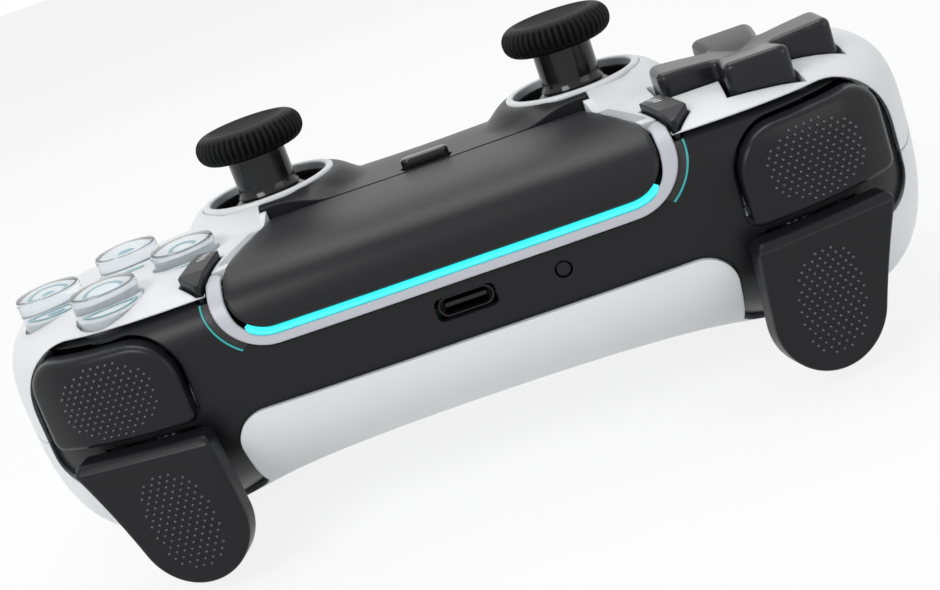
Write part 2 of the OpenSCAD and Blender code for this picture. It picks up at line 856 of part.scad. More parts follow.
module dpad_membrane() {
    color(rubber) on_side(-1) translate([cluster_x, cluster_y, 0])
        membrane([for (s = button_spots) s * cross_foot], foot_d);
}

module button_membrane() {
    color(rubber) translate([cluster_x, cluster_y, 0])
        membrane([for (s = button_spots) s * button_pitch], foot_d);
}

// Bumpers: a cap that follows the shoulder, and a lever that turns on an upright pin
bumper_t = 3.8;
bumper_deep = 12;
bumper_core = 3.4;
bumper_pin = [half_w - 37, shoulder_y - 7.7];
bumper_pin_d = 2;
bumper_hub_d = 4.8;
bumper_hub_z = face_z - 17.2;
bumper_hub_h = 9;
bumper_arm = 9;
fit_gap = 0.05;

module bumper(side) {
    color(black_plastic) on_side(side) difference() {
        intersection() {
            skin_patch(2, 6, -40, 78, -bumper_proud, bumper_t - bumper_proud, 12, 12);
            along_y(shoulder_y - bumper_deep, 2 * pad_turn_y) bumper_outline();
        }
        shoulder_core(bumper_core, band_z);
    }
}

module bumper_lever(side) {
    color(black_plastic) on_side(side) intersection() {
        translate([bumper_pin[0], bumper_pin[1], bumper_hub_z]) difference() {
            union() {
                cylinder(d = bumper_hub_d, h = bumper_hub_h);
                translate([0, bumper_hub_d / 2 - 1.6, 2]) cube([bumper_arm, 8, bumper_hub_h - 3]);
            }
            translate([0, 0, -1]) cylinder(d = bumper_pin_d + 2 * fit_gap, h = bumper_hub_h + 2);
            translate([-bumper_arm, bumper_hub_d / 2, 0]) cube([bumper_arm + 2.4, 8, bumper_hub_h]);
        }
        skin_patch(1, 5, -30, 60, bumper_t - bumper_proud + 0.1, 14, 12, 8);
    }
}

// Triggers: a hollow-faced plate on a lever that turns on a cross pin
trigger_y = shoulder_y + 2.6;
trigger_yaw = 13;
trigger_hollow_r = 60;
trigger_mid_z = (trigger_top + trigger_tip_z) / 2;
lug_t = 1.8;
lug_in = trigger_in + 1;
lug_out = trigger_in + 14.6;
hub_gap = 0.3;
shelf_t = 1.7;
shelf_l = 4.5;
trigger_rim = 1.6;
trigger_bevel_w = 1.4;
trigger_deep = 4.6;

module trigger_face(r) {
    translate([trigger_in, trigger_y, trigger_mid_z]) rotate([0, 0, -trigger_yaw])
        translate([-trigger_w, trigger_hollow_r, 0]) rotate([0, 90, 0])
            cylinder(r = r, h = 3 * trigger_w, $fn = face_facets);
}

module trigger_bevel() {
    front = trigger_hollow_r - sqrt(pow(trigger_hollow_r, 2) - pow(trigger_top - trigger_mid_z, 2));
    translate([trigger_in, trigger_y, trigger_top]) rotate([0, 0, -trigger_yaw])
        translate([-trigger_w, front - trigger_bevel_w, 0]) rotate([-45, 0, 0])
            cube([3 * trigger_w, trigger_w, trigger_w]);
}

module trigger(side) {
    color(black_plastic) on_side(side) {
        intersection() {
            along_y(pad_turn_y / 2, 2 * pad_turn_y) trigger_outline();
            difference() {
                trigger_face(trigger_hollow_r + trigger_t);
                trigger_face(trigger_hollow_r);
                trigger_bevel();
            }
        }
        intersection() {
            along_y(pad_turn_y / 2, 2 * pad_turn_y) difference() {
                trigger_outline();
                offset(delta = -trigger_rim) trigger_outline();
            }
            difference() {
                trigger_face(trigger_hollow_r + trigger_deep);
                trigger_face(trigger_hollow_r + trigger_t / 2);
            }
        }
        intersection() {
            along_y(pad_turn_y / 2, 2 * pad_turn_y)
                translate([trigger_in + 1.5, trigger_top - shelf_t - 0.1]) square([trigger_w - 3, shelf_t]);
            difference() {
                trigger_face(trigger_hollow_r + shelf_l);
                trigger_face(trigger_hollow_r + trigger_t / 2);
            }
        }
    }
}

module trigger_lever(side) {
    width = lug_out - lug_in - lug_t - 2 * hub_gap;
    arm_w = 2.6;
    color(black_plastic) on_side(side) difference() {
        translate([lug_in + lug_t + hub_gap, trigger_axle[0], trigger_axle[1]]) {
            for (x = [0, width - arm_w]) translate([x, 0, 0]) {
                rotate([0, 90, 0]) cylinder(d = hub_d, h = arm_w);
                translate([0, 0, -hub_d / 2]) cube([arm_w, high / 4, hub_d / 2 + 1]);
            }
            translate([0, hub_d / 2 + 1, -hub_d / 2]) cube([width, high / 4 - hub_d / 2 - 1, 2]);
        }
        trigger_face(trigger_hollow_r + trigger_t + fit_gap);
        trigger_face(trigger_hollow_r + trigger_t / 2);
        along_y(pad_turn_y, 2 * pad_turn_y) translate([trigger_in, trigger_top - shelf_t - 0.2])
            square([trigger_w, 2 * shelf_t]);
        translate([lug_in, trigger_axle[0], trigger_axle[1]]) rotate([0, 90, 0])
            cylinder(d = axle_d + 2 * fit_gap, h = trigger_w);
    }
}

// Bracket that carries the two pins on each side and stands on the main board
bracket_y = shoulder_y - 11.9;
bracket_t = 1.4;
bracket_low = face_z - 28;
bracket_in = bumper_pin[0] - 2.5;
bumper_lug_t = 1.4;
lug_gap = 0.3;

module shoulder_bracket(side) {
    top = bumper_hub_z + bumper_hub_h + lug_gap + bumper_lug_t;
    color(metal) on_side(side) difference() {
        union() {
            translate([bracket_in, bracket_y, bracket_low])
                cube([lug_out + lug_t - bracket_in, bracket_t, board_top + bracket_t - bracket_low]);
            translate([bracket_in, bracket_y, bracket_low])
                cube([lug_in + lug_t - bracket_in, bracket_t, top - bracket_low]);
            for (z = [bumper_hub_z - lug_gap - bumper_lug_t, top - bumper_lug_t])
                translate([bracket_in, bracket_y, z])
                    cube([bumper_hub_d, bumper_pin[1] + 2.1 - bracket_y, bumper_lug_t]);
            for (x = [lug_in, lug_out]) translate([x, bracket_y, trigger_axle[1] - hub_d / 2])
                cube([lug_t, trigger_axle[0] + 2.4 - bracket_y, hub_d]);
            translate([bracket_in, bracket_y - 4.2, board_top]) cube([5, 4.3, bracket_t]);
        }
        translate([bumper_pin[0], bumper_pin[1], bracket_low]) cylinder(d = bumper_pin_d + 0.04, h = high);
        translate([bracket_in, trigger_axle[0], trigger_axle[1]]) rotate([0, 90, 0])
            cylinder(d = axle_d + 0.04, h = trigger_w);
    }
}

module pivot_pins() {
    color(metal) both_sides() {
        translate([bumper_pin[0], bumper_pin[1], bumper_hub_z - lug_gap - bumper_lug_t])
            cylinder(d = bumper_pin_d, h = bumper_hub_h + 2 * (lug_gap + bumper_lug_t));
        translate([lug_in, trigger_axle[0], trigger_axle[1]]) rotate([0, 90, 0])
            cylinder(d = axle_d, h = lug_out + lug_t - lug_in);
    }
}

// Torsion spring wound round the trigger pin
spring_wire = 0.7;
spring_d = 4.2;
spring_turns = 3.5;
spring_pitch = 1.2;
spring_steps = 8;
wire_sides = 5;

module helix(turns, pitch, d, wire) {
    n = turns * spring_steps;
    points = [for (i = [0:n], k = [0:wire_sides - 1])
        let (a = 360 * i / spring_steps, b = 360 * k / wire_sides, r = d / 2 + wire / 2 * cos(b))
        [pitch * i / spring_steps + wire / 2 * sin(b), r * cos(a), r * sin(a)]];
    faces = concat(
        [for (i = [0:n - 1], k = [0:wire_sides - 1])
            let (a = i * wire_sides + k, b = i * wire_sides + (k + 1) % wire_sides)
            each [[a, b, b + wire_sides], [a, b + wire_sides, a + wire_sides]]],
        [[for (k = [wire_sides - 1:-1:0]) k], [for (k = [0:wire_sides - 1]) n * wire_sides + k]]
    );
    polyhedron(points = points, faces = faces);
}

module trigger_springs() {
    span = spring_turns * spring_pitch;
    color(metal) both_sides()
        translate([(lug_in + lug_t + lug_out - span) / 2, trigger_axle[0], trigger_axle[1]])
            helix(spring_turns, spring_pitch, spring_d, spring_wire);
}

// Sticks: cap, stem with a domed skirt, cross pin, yoke, bail, housing and sensors
skirt_r = 10.7;
skirt_t = 1;
skirt_low = 6.6;
neck_d = 4.4;
cap_z = face_z + cap_rise;
cap_edge = 2.4;
cap_dish = 1;
rib_deep = 0.35;
click = 0.5;
yoke = [10.4, 7.6, 3.6];
yoke_window = [8, 5.6];
stub_d = 2.8;
housing_w = 15.6;
housing_t = 1.2;
housing_top = pivot_z + 1.7;
bail_z = 4.6;
bail_t = 1.2;
bail_w = 6.8;
bail_l = 12.8;
sensor = [9, 3.4, 9];

module at_stick(side) {
    translate([side * stick_x, stick_y, pivot_z]) children();
}

module along_x_pin(d, l) {
    translate([-l / 2, 0, 0]) rotate([0, 90, 0]) cylinder(d = d, h = l);
}

module along_y_pin(d, l) {
    translate([0, l / 2, 0]) rotate([90, 0, 0]) cylinder(d = d, h = l);
}

function cap_profile() = concat(
    [[0, 0]],
    [for (a = [-90:30:0]) [cap_d / 2 - cap_edge + cap_edge * cos(a), cap_edge + cap_edge * sin(a)]],
    [for (a = [0:30:90]) [cap_d / 2 - cap_edge + cap_edge * cos(a), cap_h - cap_edge + cap_edge * sin(a)]],
    [[cap_d / 2 - cap_edge - 1, cap_h - 0.3], [cap_d / 4, cap_h - cap_dish], [0, cap_h - cap_dish - 0.3]]
);

function rib_points() = [
    for (i = [0:cap_ribs - 1], k = [0:3])
        let (r = cap_d / 2 - (k < 2 ? 0 : rib_deep), a = 360 * (i + [0.05, 0.55, 0.7, 0.9][k]) / cap_ribs)
        (r + rib_deep / 4) * [cos(a), sin(a)]
];

module stick_cap(side) {
    color(rubber) translate([side * stick_x, stick_y, cap_z]) intersection() {
        rotate_extrude() polygon(cap_profile());
        translate([0, 0, -1]) linear_extrude(cap_h + 2) polygon(rib_points());
    }
}

module stick_stem(side) {
    color(black_plastic) at_stick(side) difference() {
        union() {
            translate([0, 0, -1.8]) cylinder(d = neck_d, h = skirt_r);
            intersection() {
                difference() {
                    sphere(skirt_r);
                    sphere(skirt_r - skirt_t);
                }
                translate([0, 0, skirt_low]) cylinder(r = skirt_r, h = skirt_r);
            }
            translate([0, 0, skirt_r - 2 * skirt_t]) cylinder(d = neck_d + 2, h = skirt_t + 0.5);
            translate([0, 0, skirt_r - skirt_t]) cylinder(d1 = stem_d + 2.4, d2 = stem_d, h = 1.6);
            translate([0, 0, skirt_r - skirt_t])
                cylinder(d = stem_d, h = cap_z - pivot_z - skirt_r + skirt_t);
        }
        along_y_pin(pin_d + 0.06, 2 * neck_d);
    }
}

module stick_pin(side) {
    color(metal) at_stick(side) along_y_pin(pin_d, yoke[1] - 0.2);
}

module stick_yoke(side) {
    stub_l = housing_w - 0.2;
    color(black_plastic) at_stick(side) difference() {
        union() {
            translate([-yoke[0] / 2, -yoke[1] / 2, -yoke[2] / 2]) cube(yoke);
            along_x_pin(stub_d, stub_l);
        }
        translate([-yoke_window[0] / 2, -yoke_window[1] / 2, -yoke[2]])
            cube([yoke_window[0], yoke_window[1], 2 * yoke[2]]);
        along_y_pin(pin_d + 0.1, 2 * yoke[1]);
        translate([0, 0, -click]) along_y_pin(pin_d + 0.1, 2 * yoke[1]);
        translate([-pin_d / 2 - 0.05, -yoke[1], -click]) cube([pin_d + 0.1, 2 * yoke[1], click]);
    }
}

module stick_bail(side) {
    leg_t = 1;
    slot = [neck_d + 0.8, 8.8];
    color(metal) at_stick(side) difference() {
        union() {
            translate([-bail_w / 2, -bail_l / 2, bail_z]) cube([bail_w, bail_l, bail_t]);
            for (s = [-1, 1]) translate([0, s * (bail_l - leg_t) / 2, 0]) {
                translate([-stub_d / 2, -leg_t / 2, 0]) cube([stub_d, leg_t, bail_z + bail_t]);
                along_y_pin(stub_d, leg_t);
                translate([0, s * (housing_w - 0.2 - bail_l + leg_t) / 4, 0])
                    along_y_pin(stub_d, (housing_w - 0.2 - bail_l + leg_t) / 2);
            }
        }
        translate([-slot[0] / 2, -slot[1] / 2, 0]) cube([slot[0], slot[1], bail_z + 2 * bail_t]);
    }
}

module stick_housing(side) {
    inner = housing_w - 2 * housing_t;
    color(metal) difference() {
        translate([side * stick_x - housing_w / 2, stick_y - housing_w / 2, board_top])
            cube([housing_w, housing_w, housing_top - board_top]);
        translate([side * stick_x - inner / 2, stick_y - inner / 2, board_top + housing_t])
            cube([inner, inner, high]);
        at_stick(side) along_x_pin(stub_d + 2 * fit_gap, 2 * housing_w);
        at_stick(side) along_y_pin(stub_d + 2 * fit_gap, 2 * housing_w);
    }
}

module stick_sensors() {
    color(rubber) for (side = [-1, 1]) {
        translate([side * stick_x - sensor[0] / 2, stick_y - housing_w / 2 - sensor[1], board_top])
            cube(sensor);
        out = side * (stick_x + housing_w / 2 + sensor[1] / 2);
        translate([out - sensor[1] / 2, stick_y - sensor[0] / 2, board_top])
            cube([sensor[1], sensor[0], sensor[2]]);
    }
}

// Boards, battery and ports
board_half = 44;
board_back = -8;
board_front = shoulder_y - 12.1;
tongue_half = 9;
tongue_front = shoulder_y - 3.8;
port_l = 7.6;
port_front = shoulder_y - 1.9;

module main_board() {
    color(board_green) translate([0, 0, board_z]) linear_extrude(board_t) difference() {
        union() {
            translate([-board_half, board_back]) square([2 * board_half, board_front - board_back]);
            translate([-tongue_half, 0]) square([2 * tongue_half, tongue_front]);
        }
        translate([-port_w / 2 - 0.1, port_front - port_l - 0.1]) square([port_w + 0.2, port_l + 2]);
    }
}

module port_section(w, h) {
    for (side = [-1, 1]) translate([side * (w - h) / 2, 0]) circle(d = h);
    translate([-(w - h) / 2, -h / 2]) square([w - h, h]);
}

module usb_port() {
    shell_t = 0.3;
    color(metal) translate([0, port_front, part_z]) rotate([90, 0, 0]) {
        linear_extrude(port_l) difference() {
            port_section(port_w, port_h);
            port_section(port_w - 2 * shell_t, port_h - 2 * shell_t);
        }
        translate([0, 0, port_l - 1]) linear_extrude(1) port_section(port_w - shell_t, port_h - shell_t);
        translate([-3.35, -0.35, 1]) cube([6.7, 0.7, port_l - 1.5]);
        for (side = [-1, 1]) translate([side * (port_w / 2 + 0.8) - 1.1, board_top - part_z, port_l / 3])
            cube([2.2, 0.4, port_l / 3]);
    }
}

jack_h = 6;
jack_w = 6.4;
jack_nose_d = 4.8;
jack_back = 1.6;
jack_face = -waist_y + 4.6;
jack_tip = -waist_y + 0.7;
jack_depth = 12;

module audio_jack() {
    color(rubber) difference() {
        union() {
            translate([-jack_w / 2, jack_face, board_z - jack_h])
                cube([jack_w, jack_back - jack_face, jack_h]);
            translate([0, jack_face + 1, board_z - jack_h / 2]) rotate([90, 0, 0])
                cylinder(d = jack_nose_d, h = jack_face + 1 - jack_tip);
        }
        translate([0, jack_tip + jack_depth, board_z - jack_h / 2]) rotate([90, 0, 0])
            cylinder(d = jack_d, h = jack_depth + 1);
    }
}

battery_size = [50, 32, 9];
battery_y = 3.5;
tray_t = 1.2;
tray_gap = 0.2;
tray_drop = 14.2;

module battery() {
    color(rubber) translate([-battery_size[0] / 2, battery_y, board_z - tray_drop + tray_t])
        cube(battery_size);
}

module battery_tray() {
    gap = tray_gap + tray_t;
    outer = [battery_size[0] + 2 * gap, battery_size[1] + 2 * gap];
    inner = [battery_size[0] + 2 * tray_gap, battery_size[1] + 2 * tray_gap];
    color(black_plastic) translate([0, battery_y - gap, board_z - tray_drop]) difference() {
        translate([-outer[0] / 2, 0, 0]) cube([outer[0], outer[1], tray_drop]);
        translate([-inner[0] / 2, tray_t, tray_t]) cube([inner[0], inner[1], tray_drop]);
    }
}

module rumble_motor(side) {
    color(metal) on_side(side) difference() {
        motor_axis(motor_y0, motor_y1, motor_d);
        motor_axis(motor_y1 - 3, motor_y1 + 1, shaft_d + 2 * fit_gap);
    }
}

module rumble_weight(side) {
    color(metal) on_side(side) {
        motor_axis(motor_y1 - 2.8, weight_y1, shaft_d);
        difference() {
            motor_axis(weight_y0, weight_y1, weight_d);
            translate([motor_x - weight_d, weight_y0 - 1, motor_z + shaft_d / 2])
                cube([2 * weight_d, weight_y1 - weight_y0 + 2, weight_d]);
        }
    }
}

module case_screws() {
    color(metal) both_sides() for (s = screws) translate([s[0], s[1], 0]) {
        translate([0, 0, s[2]]) cylinder(d = head_d, h = head_h);
        translate([0, 0, s[2] + head_h / 2]) cylinder(d = screw_d - 0.1, h = s[4] - s[2] - head_h / 2);
    }
}

front_shell();
rear_shell();
shoulder_band();
center_bezel();
stick_rings();
touchpad();
touchpad_trim();
light_strip();
home_button();
reset_button();
side_button(-1);  // side_button_left
side_button(1);  // side_button_right
dpad();
dpad_pivot_ball();
face_button(0);  // button_north
face_button(1);  // button_east
face_button(2);  // button_south
face_button(3);  // button_west
bumper(-1);  // bumper_left
bumper(1);  // bumper_right
bumper_lever(-1);  // bumper_lever_left
bumper_lever(1);  // bumper_lever_right
trigger(-1);  // trigger_left
trigger(1);  // trigger_right
trigger_lever(-1);  // trigger_lever_left
trigger_lever(1);  // trigger_lever_right
stick_cap(-1);  // stick_cap_left
stick_cap(1);  // stick_cap_right
stick_stem(-1);  // stick_stem_left
stick_stem(1);  // stick_stem_right
stick_pin(-1);  // stick_pin_left
stick_pin(1);  // stick_pin_right
stick_yoke(-1);  // stick_yoke_left
stick_yoke(1);  // stick_yoke_right
stick_bail(-1);  // stick_bail_left
stick_bail(1);  // stick_bail_right
stick_housing(-1);  // stick_housing_left
stick_housing(1);  // stick_housing_right
stick_sensors();
shoulder_bracket(-1);  // shoulder_bracket_left
shoulder_bracket(1);  // shoulder_bracket_right
pivot_pins();
trigger_springs();
main_board();
key_boards();
dpad_membrane();
button_membrane();
battery();
battery_tray();
rumble_motor(-1);  // rumble_motor_left
rumble_motor(1);  // rumble_motor_right
rumble_weight(-1);  // rumble_weight_left
rumble_weight(1);  // rumble_weight_right
usb_port();
audio_jack();
case_screws();
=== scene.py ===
"""Gamepad controller: the pieces that show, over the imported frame, with their finishes and a studio."""

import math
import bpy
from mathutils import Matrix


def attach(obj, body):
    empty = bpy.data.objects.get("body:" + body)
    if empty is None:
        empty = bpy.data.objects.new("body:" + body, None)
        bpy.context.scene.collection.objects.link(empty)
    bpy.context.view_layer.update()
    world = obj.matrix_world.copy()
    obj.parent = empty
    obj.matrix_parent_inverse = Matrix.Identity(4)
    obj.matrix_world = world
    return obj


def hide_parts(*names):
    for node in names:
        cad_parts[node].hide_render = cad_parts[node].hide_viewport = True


bl_info = {
    "name": "Gamepad controller",
    "version": (1, 0, 0),
    "blender": (4, 5, 0),
    "location": "View3D > Sidebar > Gamepad",
    "description": "Models the shells, keys and sticks of a gamepad controller over its packed frame",
    "category": "Object",
}

import bpy
import numpy as np
from mathutils import Matrix, Vector

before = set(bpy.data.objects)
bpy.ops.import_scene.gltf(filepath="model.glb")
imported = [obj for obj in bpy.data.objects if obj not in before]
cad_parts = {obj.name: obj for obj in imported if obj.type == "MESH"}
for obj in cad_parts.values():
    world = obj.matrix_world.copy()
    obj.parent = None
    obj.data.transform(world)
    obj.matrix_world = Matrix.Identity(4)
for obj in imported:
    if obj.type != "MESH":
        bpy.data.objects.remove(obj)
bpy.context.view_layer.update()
MM = 0.001

# Sizes that the frame was drawn with, in millimetres
FACE_Z = 48.0
SHOULDER_Y = 49.5
WAIST_Y = 13.0
PART_Z = 32.0
GRIP_ROUND = 19.6
WALL = 2.2
PART_GAP = 0.2
RUN_GAP = 0.4
STICK = (28.2, 4.0)
CLUSTER = (54.0, 24.5)
WELL_R = 10.75
RING_W = 1.4
COLLAR_R = 17.8
COLLAR_TOP = 50.5

# Sections of the body from the middle to the grip end, as in the frame: player's edge, outer edge, parting,
# face and underside at those edges, powers of the upper and lower curve
STATIONS = [
    ((0, 0), (0, 0), (0, -0.5), (0.8, 0), (11.5, 9), (5, 2.4)),
    ((12, 0), (20, 0), (0, -0.5), (0.6, 0), (11, 8.8), (5, 2.4)),
    ((22, 1.5), (38, 0.7), (0.5, 0), (0.5, 0), (9.5, 7.5), (4.8, 2.4)),
    ((29, 4.5), (53, 2.5), (1, 1), (1, 0), (7, 4.5), (4.6, 2.4)),
    ((33.5, 8), (65, 7), (2, 2.5), (2, 0), (4, 1.5), (4.4, 2.4)),
    ((37, 12), (74, 16.5), (3.5, 3.4), (3.5, 0), (1.5, -0.2), (4, 2.4)),
    ((40, 16.5), (79, 32.5), (5, 1.9), (5.5, 0.5), (0, -0.3), (3.4, 2.4)),
    ((42.5, 21), (80, 49.5), (7, 3.4), (8, 1.5), (-0.3, -0.3), (3, 2.4)),
    ((44.5, 25), (79, 64), (10, 6.5), (11.5, 4), (-0.3, 0.2), (2.7, 2.3)),
    ((46.5, 29.5), (77, 76.5), (13, 9.5), (15.5, 8), (-0.2, 0.8), (2.5, 2.3)),
]
LAST = len(STATIONS) - 1


def _rows():
    """The sections in millimetres, with one row added before the first and one after the last."""
    rows = []
    for inner, outer, part, face, low, power in STATIONS:
        rows.append([inner[0], -WAIST_Y - inner[1], outer[0], SHOULDER_Y - outer[1],
                     PART_Z - part[0], PART_Z - part[1], FACE_Z - face[0], FACE_Z - face[1],
                     low[0], low[1], power[0], power[1]])
    rows = np.array(rows, float)
    first = rows[1].copy()
    first[[0, 2]] *= -1
    return np.vstack([first, rows, 2 * rows[-1] - rows[-2]])


ROWS = _rows()


def station(v):
    """Section values at places v along the body, on a smooth curve through the rows."""
    i = np.minimum(np.floor(v), LAST - 1).astype(int)
    t = (v - i)[..., None]
    a, b, c, d = (ROWS[i + k] for k in range(4))
    square, cube = 2 * a - 5 * b + 4 * c - d, 3 * b - a - 3 * c + d
    return 0.5 * (2 * b + (c - a) * t + square * t ** 2 + cube * t ** 3)


def section(s, angle, inset):
    """Points of sections s at angles in degrees: 0 the outer edge, 90 the face, 180 the player's edge."""
    co, si = np.cos(np.radians(angle)), np.sin(np.radians(angle))
    up = si >= 0
    power = np.where(up, s[..., 10], s[..., 11])
    ex, ey = s[..., 2] - s[..., 0], s[..., 3] - s[..., 1]
    cut = inset / np.hypot(ex, ey)
    t = cut + (0.5 + 0.5 * np.sign(co) * np.abs(co) ** (2 / power)) * (1 - 2 * cut)
    base = s[..., 4] + (s[..., 5] - s[..., 4]) * t
    top = s[..., 6] + (s[..., 7] - s[..., 6]) * t - inset
    low = s[..., 8] + (s[..., 9] - s[..., 8]) * t + inset
    z = base + (np.where(up, top, low) - base) * np.abs(si) ** (2 / power)
    return np.stack([s[..., 0] + ex * t, s[..., 1] + ey * t, z], -1)


def middle(v):
    s = station(np.array([float(v)]))[0]
    return np.array([(s[0] + s[2]) / 2, (s[1] + s[3]) / 2, (s[4] + s[5]) / 2])


def form(u, angle, inset=0.0):
    """Points of the body surface: u runs from grip to grip, and from 9 to 10 over the rounded grip end."""
    u, angle = np.broadcast_arrays(np.asarray(u, float), np.asarray(angle, float))
    v = np.abs(u)
    p = section(station(np.minimum(v, LAST)), angle, inset)
    end = v > LAST
    if end.any():
        tilt = np.radians(np.where(end, v - LAST, 0) * 90)[..., None]
        m = middle(LAST)
        way = (m - middle(LAST - 0.5)) * 2
        near = section(station(np.full_like(v, LAST - 0.5)), angle, inset)
        reach = (GRIP_ROUND - inset) / np.linalg.norm(way) * np.sin(tilt)
        dome = m + (p - m) * np.cos(tilt) + reach * (way + ((p - near) * 2 - way) * np.cos(tilt))
        p = np.where(end[..., None], dome, p)
    p = p.copy()
    p[..., 0] *= np.where(u < 0, -1, 1)
    return p


def ease(t):
    """A smooth step from 0 to 1."""
    t = np.clip(t, 0, 1)
    return t * t * (3 - 2 * t)


def collar_lift(x, y, z):
    """How far the face swells up to the rings round the sticks."""
    r = np.hypot(np.abs(x) - STICK[0], y - STICK[1])
    w = ease((COLLAR_R - r) / (COLLAR_R - WELL_R - RING_W - 0.4))
    return np.where(z > FACE_Z - 8, (COLLAR_TOP - z) * w, 0)


def raised(p):
    p = p.copy()
    p[..., 2] += collar_lift(p[..., 0], p[..., 1], p[..., 2])
    return p


def form_normal(u, angle, inset=0.0):
    """Outward normals of the body surface."""
    du, da = 0.01, 0.2
    a = form(np.asarray(u) + du, angle, inset) - form(np.asarray(u) - du, angle, inset)
    b = form(u, np.asarray(angle) + da, inset) - form(u, np.asarray(angle) - da, inset)
    n = np.cross(a, b)
    return n / np.linalg.norm(n, axis=-1, keepdims=True)


def solve(f, lo, hi, steps=44):
    """Where a rising function of one value passes zero, for a whole array at once."""
    lo, hi = lo.astype(float), hi.astype(float)
    for _ in range(steps):
        mid = (lo + hi) / 2
        below = f(mid) < 0
        lo, hi = np.where(below, mid, lo), np.where(below, hi, mid)
    return (lo + hi) / 2


def front_y(x, z, inset=0.0):
    """Y of the shoulder surface at points of the front view, on the +X side."""
    x, z = np.broadcast_arrays(np.asarray(x, float), np.asarray(z, float))
    y = np.empty_like(x)
    u = np.linspace(0, 6.6, 140)
    for level in np.unique(z):
        a = solve(lambda t: form(u, t, inset)[:, 2] - level, np.full_like(u, -85.0), np.full_like(u, 89.0))
        p = form(u, a, inset)
        pick = z == level
        y[pick] = np.interp(x[pick], p[:, 0], p[:, 1])
    return y


# Modelling helpers, in which points of a mesh this near to each other, in metres, are one
DOUBLED = 2e-7


def clear_selection():
    if bpy.context.object and bpy.context.object.mode != "OBJECT":
        bpy.ops.object.mode_set(mode="OBJECT")
    bpy.ops.object.select_all(action="DESELECT")


def begin(obj):
    clear_selection()
    obj.select_set(True)
    bpy.context.view_layer.objects.active = obj
    return obj


def rename(obj, name):
    obj.name = obj.data.name = name
    return obj


def named(name):
    return rename(bpy.context.object, name)


def drop(*pieces):
    for obj in pieces:
        bpy.data.objects.remove(obj)


def places(obj):
    co = np.empty(len(obj.data.vertices) * 3)
    obj.data.vertices.foreach_get("co", co)
    return co.reshape(-1, 3)


def set_places(obj, co):
    obj.data.vertices.foreach_set("co", np.ascontiguousarray(co, dtype=np.float64).ravel())
    obj.data.update()


def shift(obj, x, y, z=0):
    set_places(obj, places(obj) + np.array([x, y, z]) * MM)


def stand(obj, at, normal):
    """Turns a small shape from upright to a normal and sets it at a place in metres."""
    turn = np.array(Vector((0, 0, 1)).rotation_difference(Vector(normal)).to_matrix())
    set_places(obj, places(obj) @ turn.T + np.asarray(at))


def edit(obj, *steps):
    """Runs mesh operators on all of a piece's faces."""
    begin(obj)
    bpy.ops.object.mode_set(mode="EDIT")
    bpy.ops.mesh.select_all(action="SELECT")
    for step in steps:
        step()
    bpy.ops.object.mode_set(mode="OBJECT")
    return obj


def turn_outward():
    bpy.ops.mesh.normals_make_consistent(inside=False)


def tidy_mesh(obj):
    """Joins doubled points and turns all faces outward."""
    return edit(obj, lambda: bpy.ops.mesh.remove_doubles(threshold=DOUBLED), turn_outward)


def apply(obj, kind, **settings):
    """Adds a modifier, sets it and applies it."""
    mod = obj.modifiers.new(kind.lower(), kind)
    for key, value in settings.items():
        setattr(mod, key, value)
    begin(obj)
    bpy.ops.object.modifier_apply(modifier=mod.name)
    return obj


def grid_sheet(name, points):
    """A grid primitive whose points are laid on an array of places in millimetres."""
    n, m = points.shape[:2]
    clear_selection()
    bpy.ops.mesh.primitive_grid_add(x_subdivisions=n - 1, y_subdivisions=m - 1, size=2)
    obj = named(name)
    co = places(obj)
    i = np.rint((co[:, 0] + 1) / 2 * (n - 1)).astype(int)
    j = np.rint((co[:, 1] + 1) / 2 * (m - 1)).astype(int)
    set_places(obj, points[i, j] * MM)
    return tidy_mesh(obj)


def thicken(obj, t):
    """Gives a sheet its wall, inward from its faces."""
    return apply(obj, "SOLIDIFY", thickness=t * MM, offset=-1, use_even_offset=False, use_rim=True)


def face_out(obj, outward):
    """Turns an open sheet's faces to the side that a function of their centres gives."""
    normals = np.array([p.normal for p in obj.data.polygons])
    centres = np.array([p.center for p in obj.data.polygons])
    if np.mean(np.einsum("ij,ij->i", normals, outward(centres))) < 0:
        edit(obj, bpy.ops.mesh.flip_normals)
    return obj


def from_body(c):
    """Direction away from the inside of the body."""
    return c - np.stack([c[:, 0] * 0.8, np.clip(c[:, 1], -0.03, 0.025), np.full(len(c), 0.026)], -1)


def prism(name, outline, axis, lo, hi):
    """An outline in millimetres pushed along Y (front view) or Z (plan)."""
    clear_selection()
    bpy.ops.mesh.primitive_circle_add(vertices=len(outline), fill_type="NGON")
    obj = named(name)
    x, other = np.asarray(outline, float).T
    level = np.full(len(x), lo)
    set_places(obj, np.stack([x, level, other] if axis == "Y" else [x, other, level], -1) * MM)
    step = (hi - lo) * MM
    way = {"value": (0, step, 0) if axis == "Y" else (0, 0, step)}
    edit(obj, lambda: bpy.ops.mesh.extrude_region_move(TRANSFORM_OT_translate=way))
    return edit(obj, turn_outward)


def combine(obj, other, operation):
    """Cuts, joins or crosses two closed pieces, and drops the second."""
    before = len(obj.data.vertices)
    apply(obj, "BOOLEAN", operation=operation, object=other, solver="MANIFOLD")
    if len(obj.data.vertices) == before:
        raise RuntimeError("%s and %s do not meet, or one of them is open" % (obj.name, other.name))
    drop(other)
    return obj


def cut(obj, *others):
    for other in others:
        combine(obj, other, "DIFFERENCE")
    return obj


def join(first, *others):
    begin(first)
    for o in others:
        o.select_set(True)
    bpy.ops.object.join()
    return first


def copy_of(obj, name, flip_x=False):
    """A copy with its own mesh, mirrored to the other side if asked."""
    new = obj.copy()
    new.data = obj.data.copy()
    rename(new, name)
    bpy.context.collection.objects.link(new)
    if flip_x:
        set_places(new, places(new) * [-1, 1, 1])
        edit(new, bpy.ops.mesh.flip_normals)
    return new


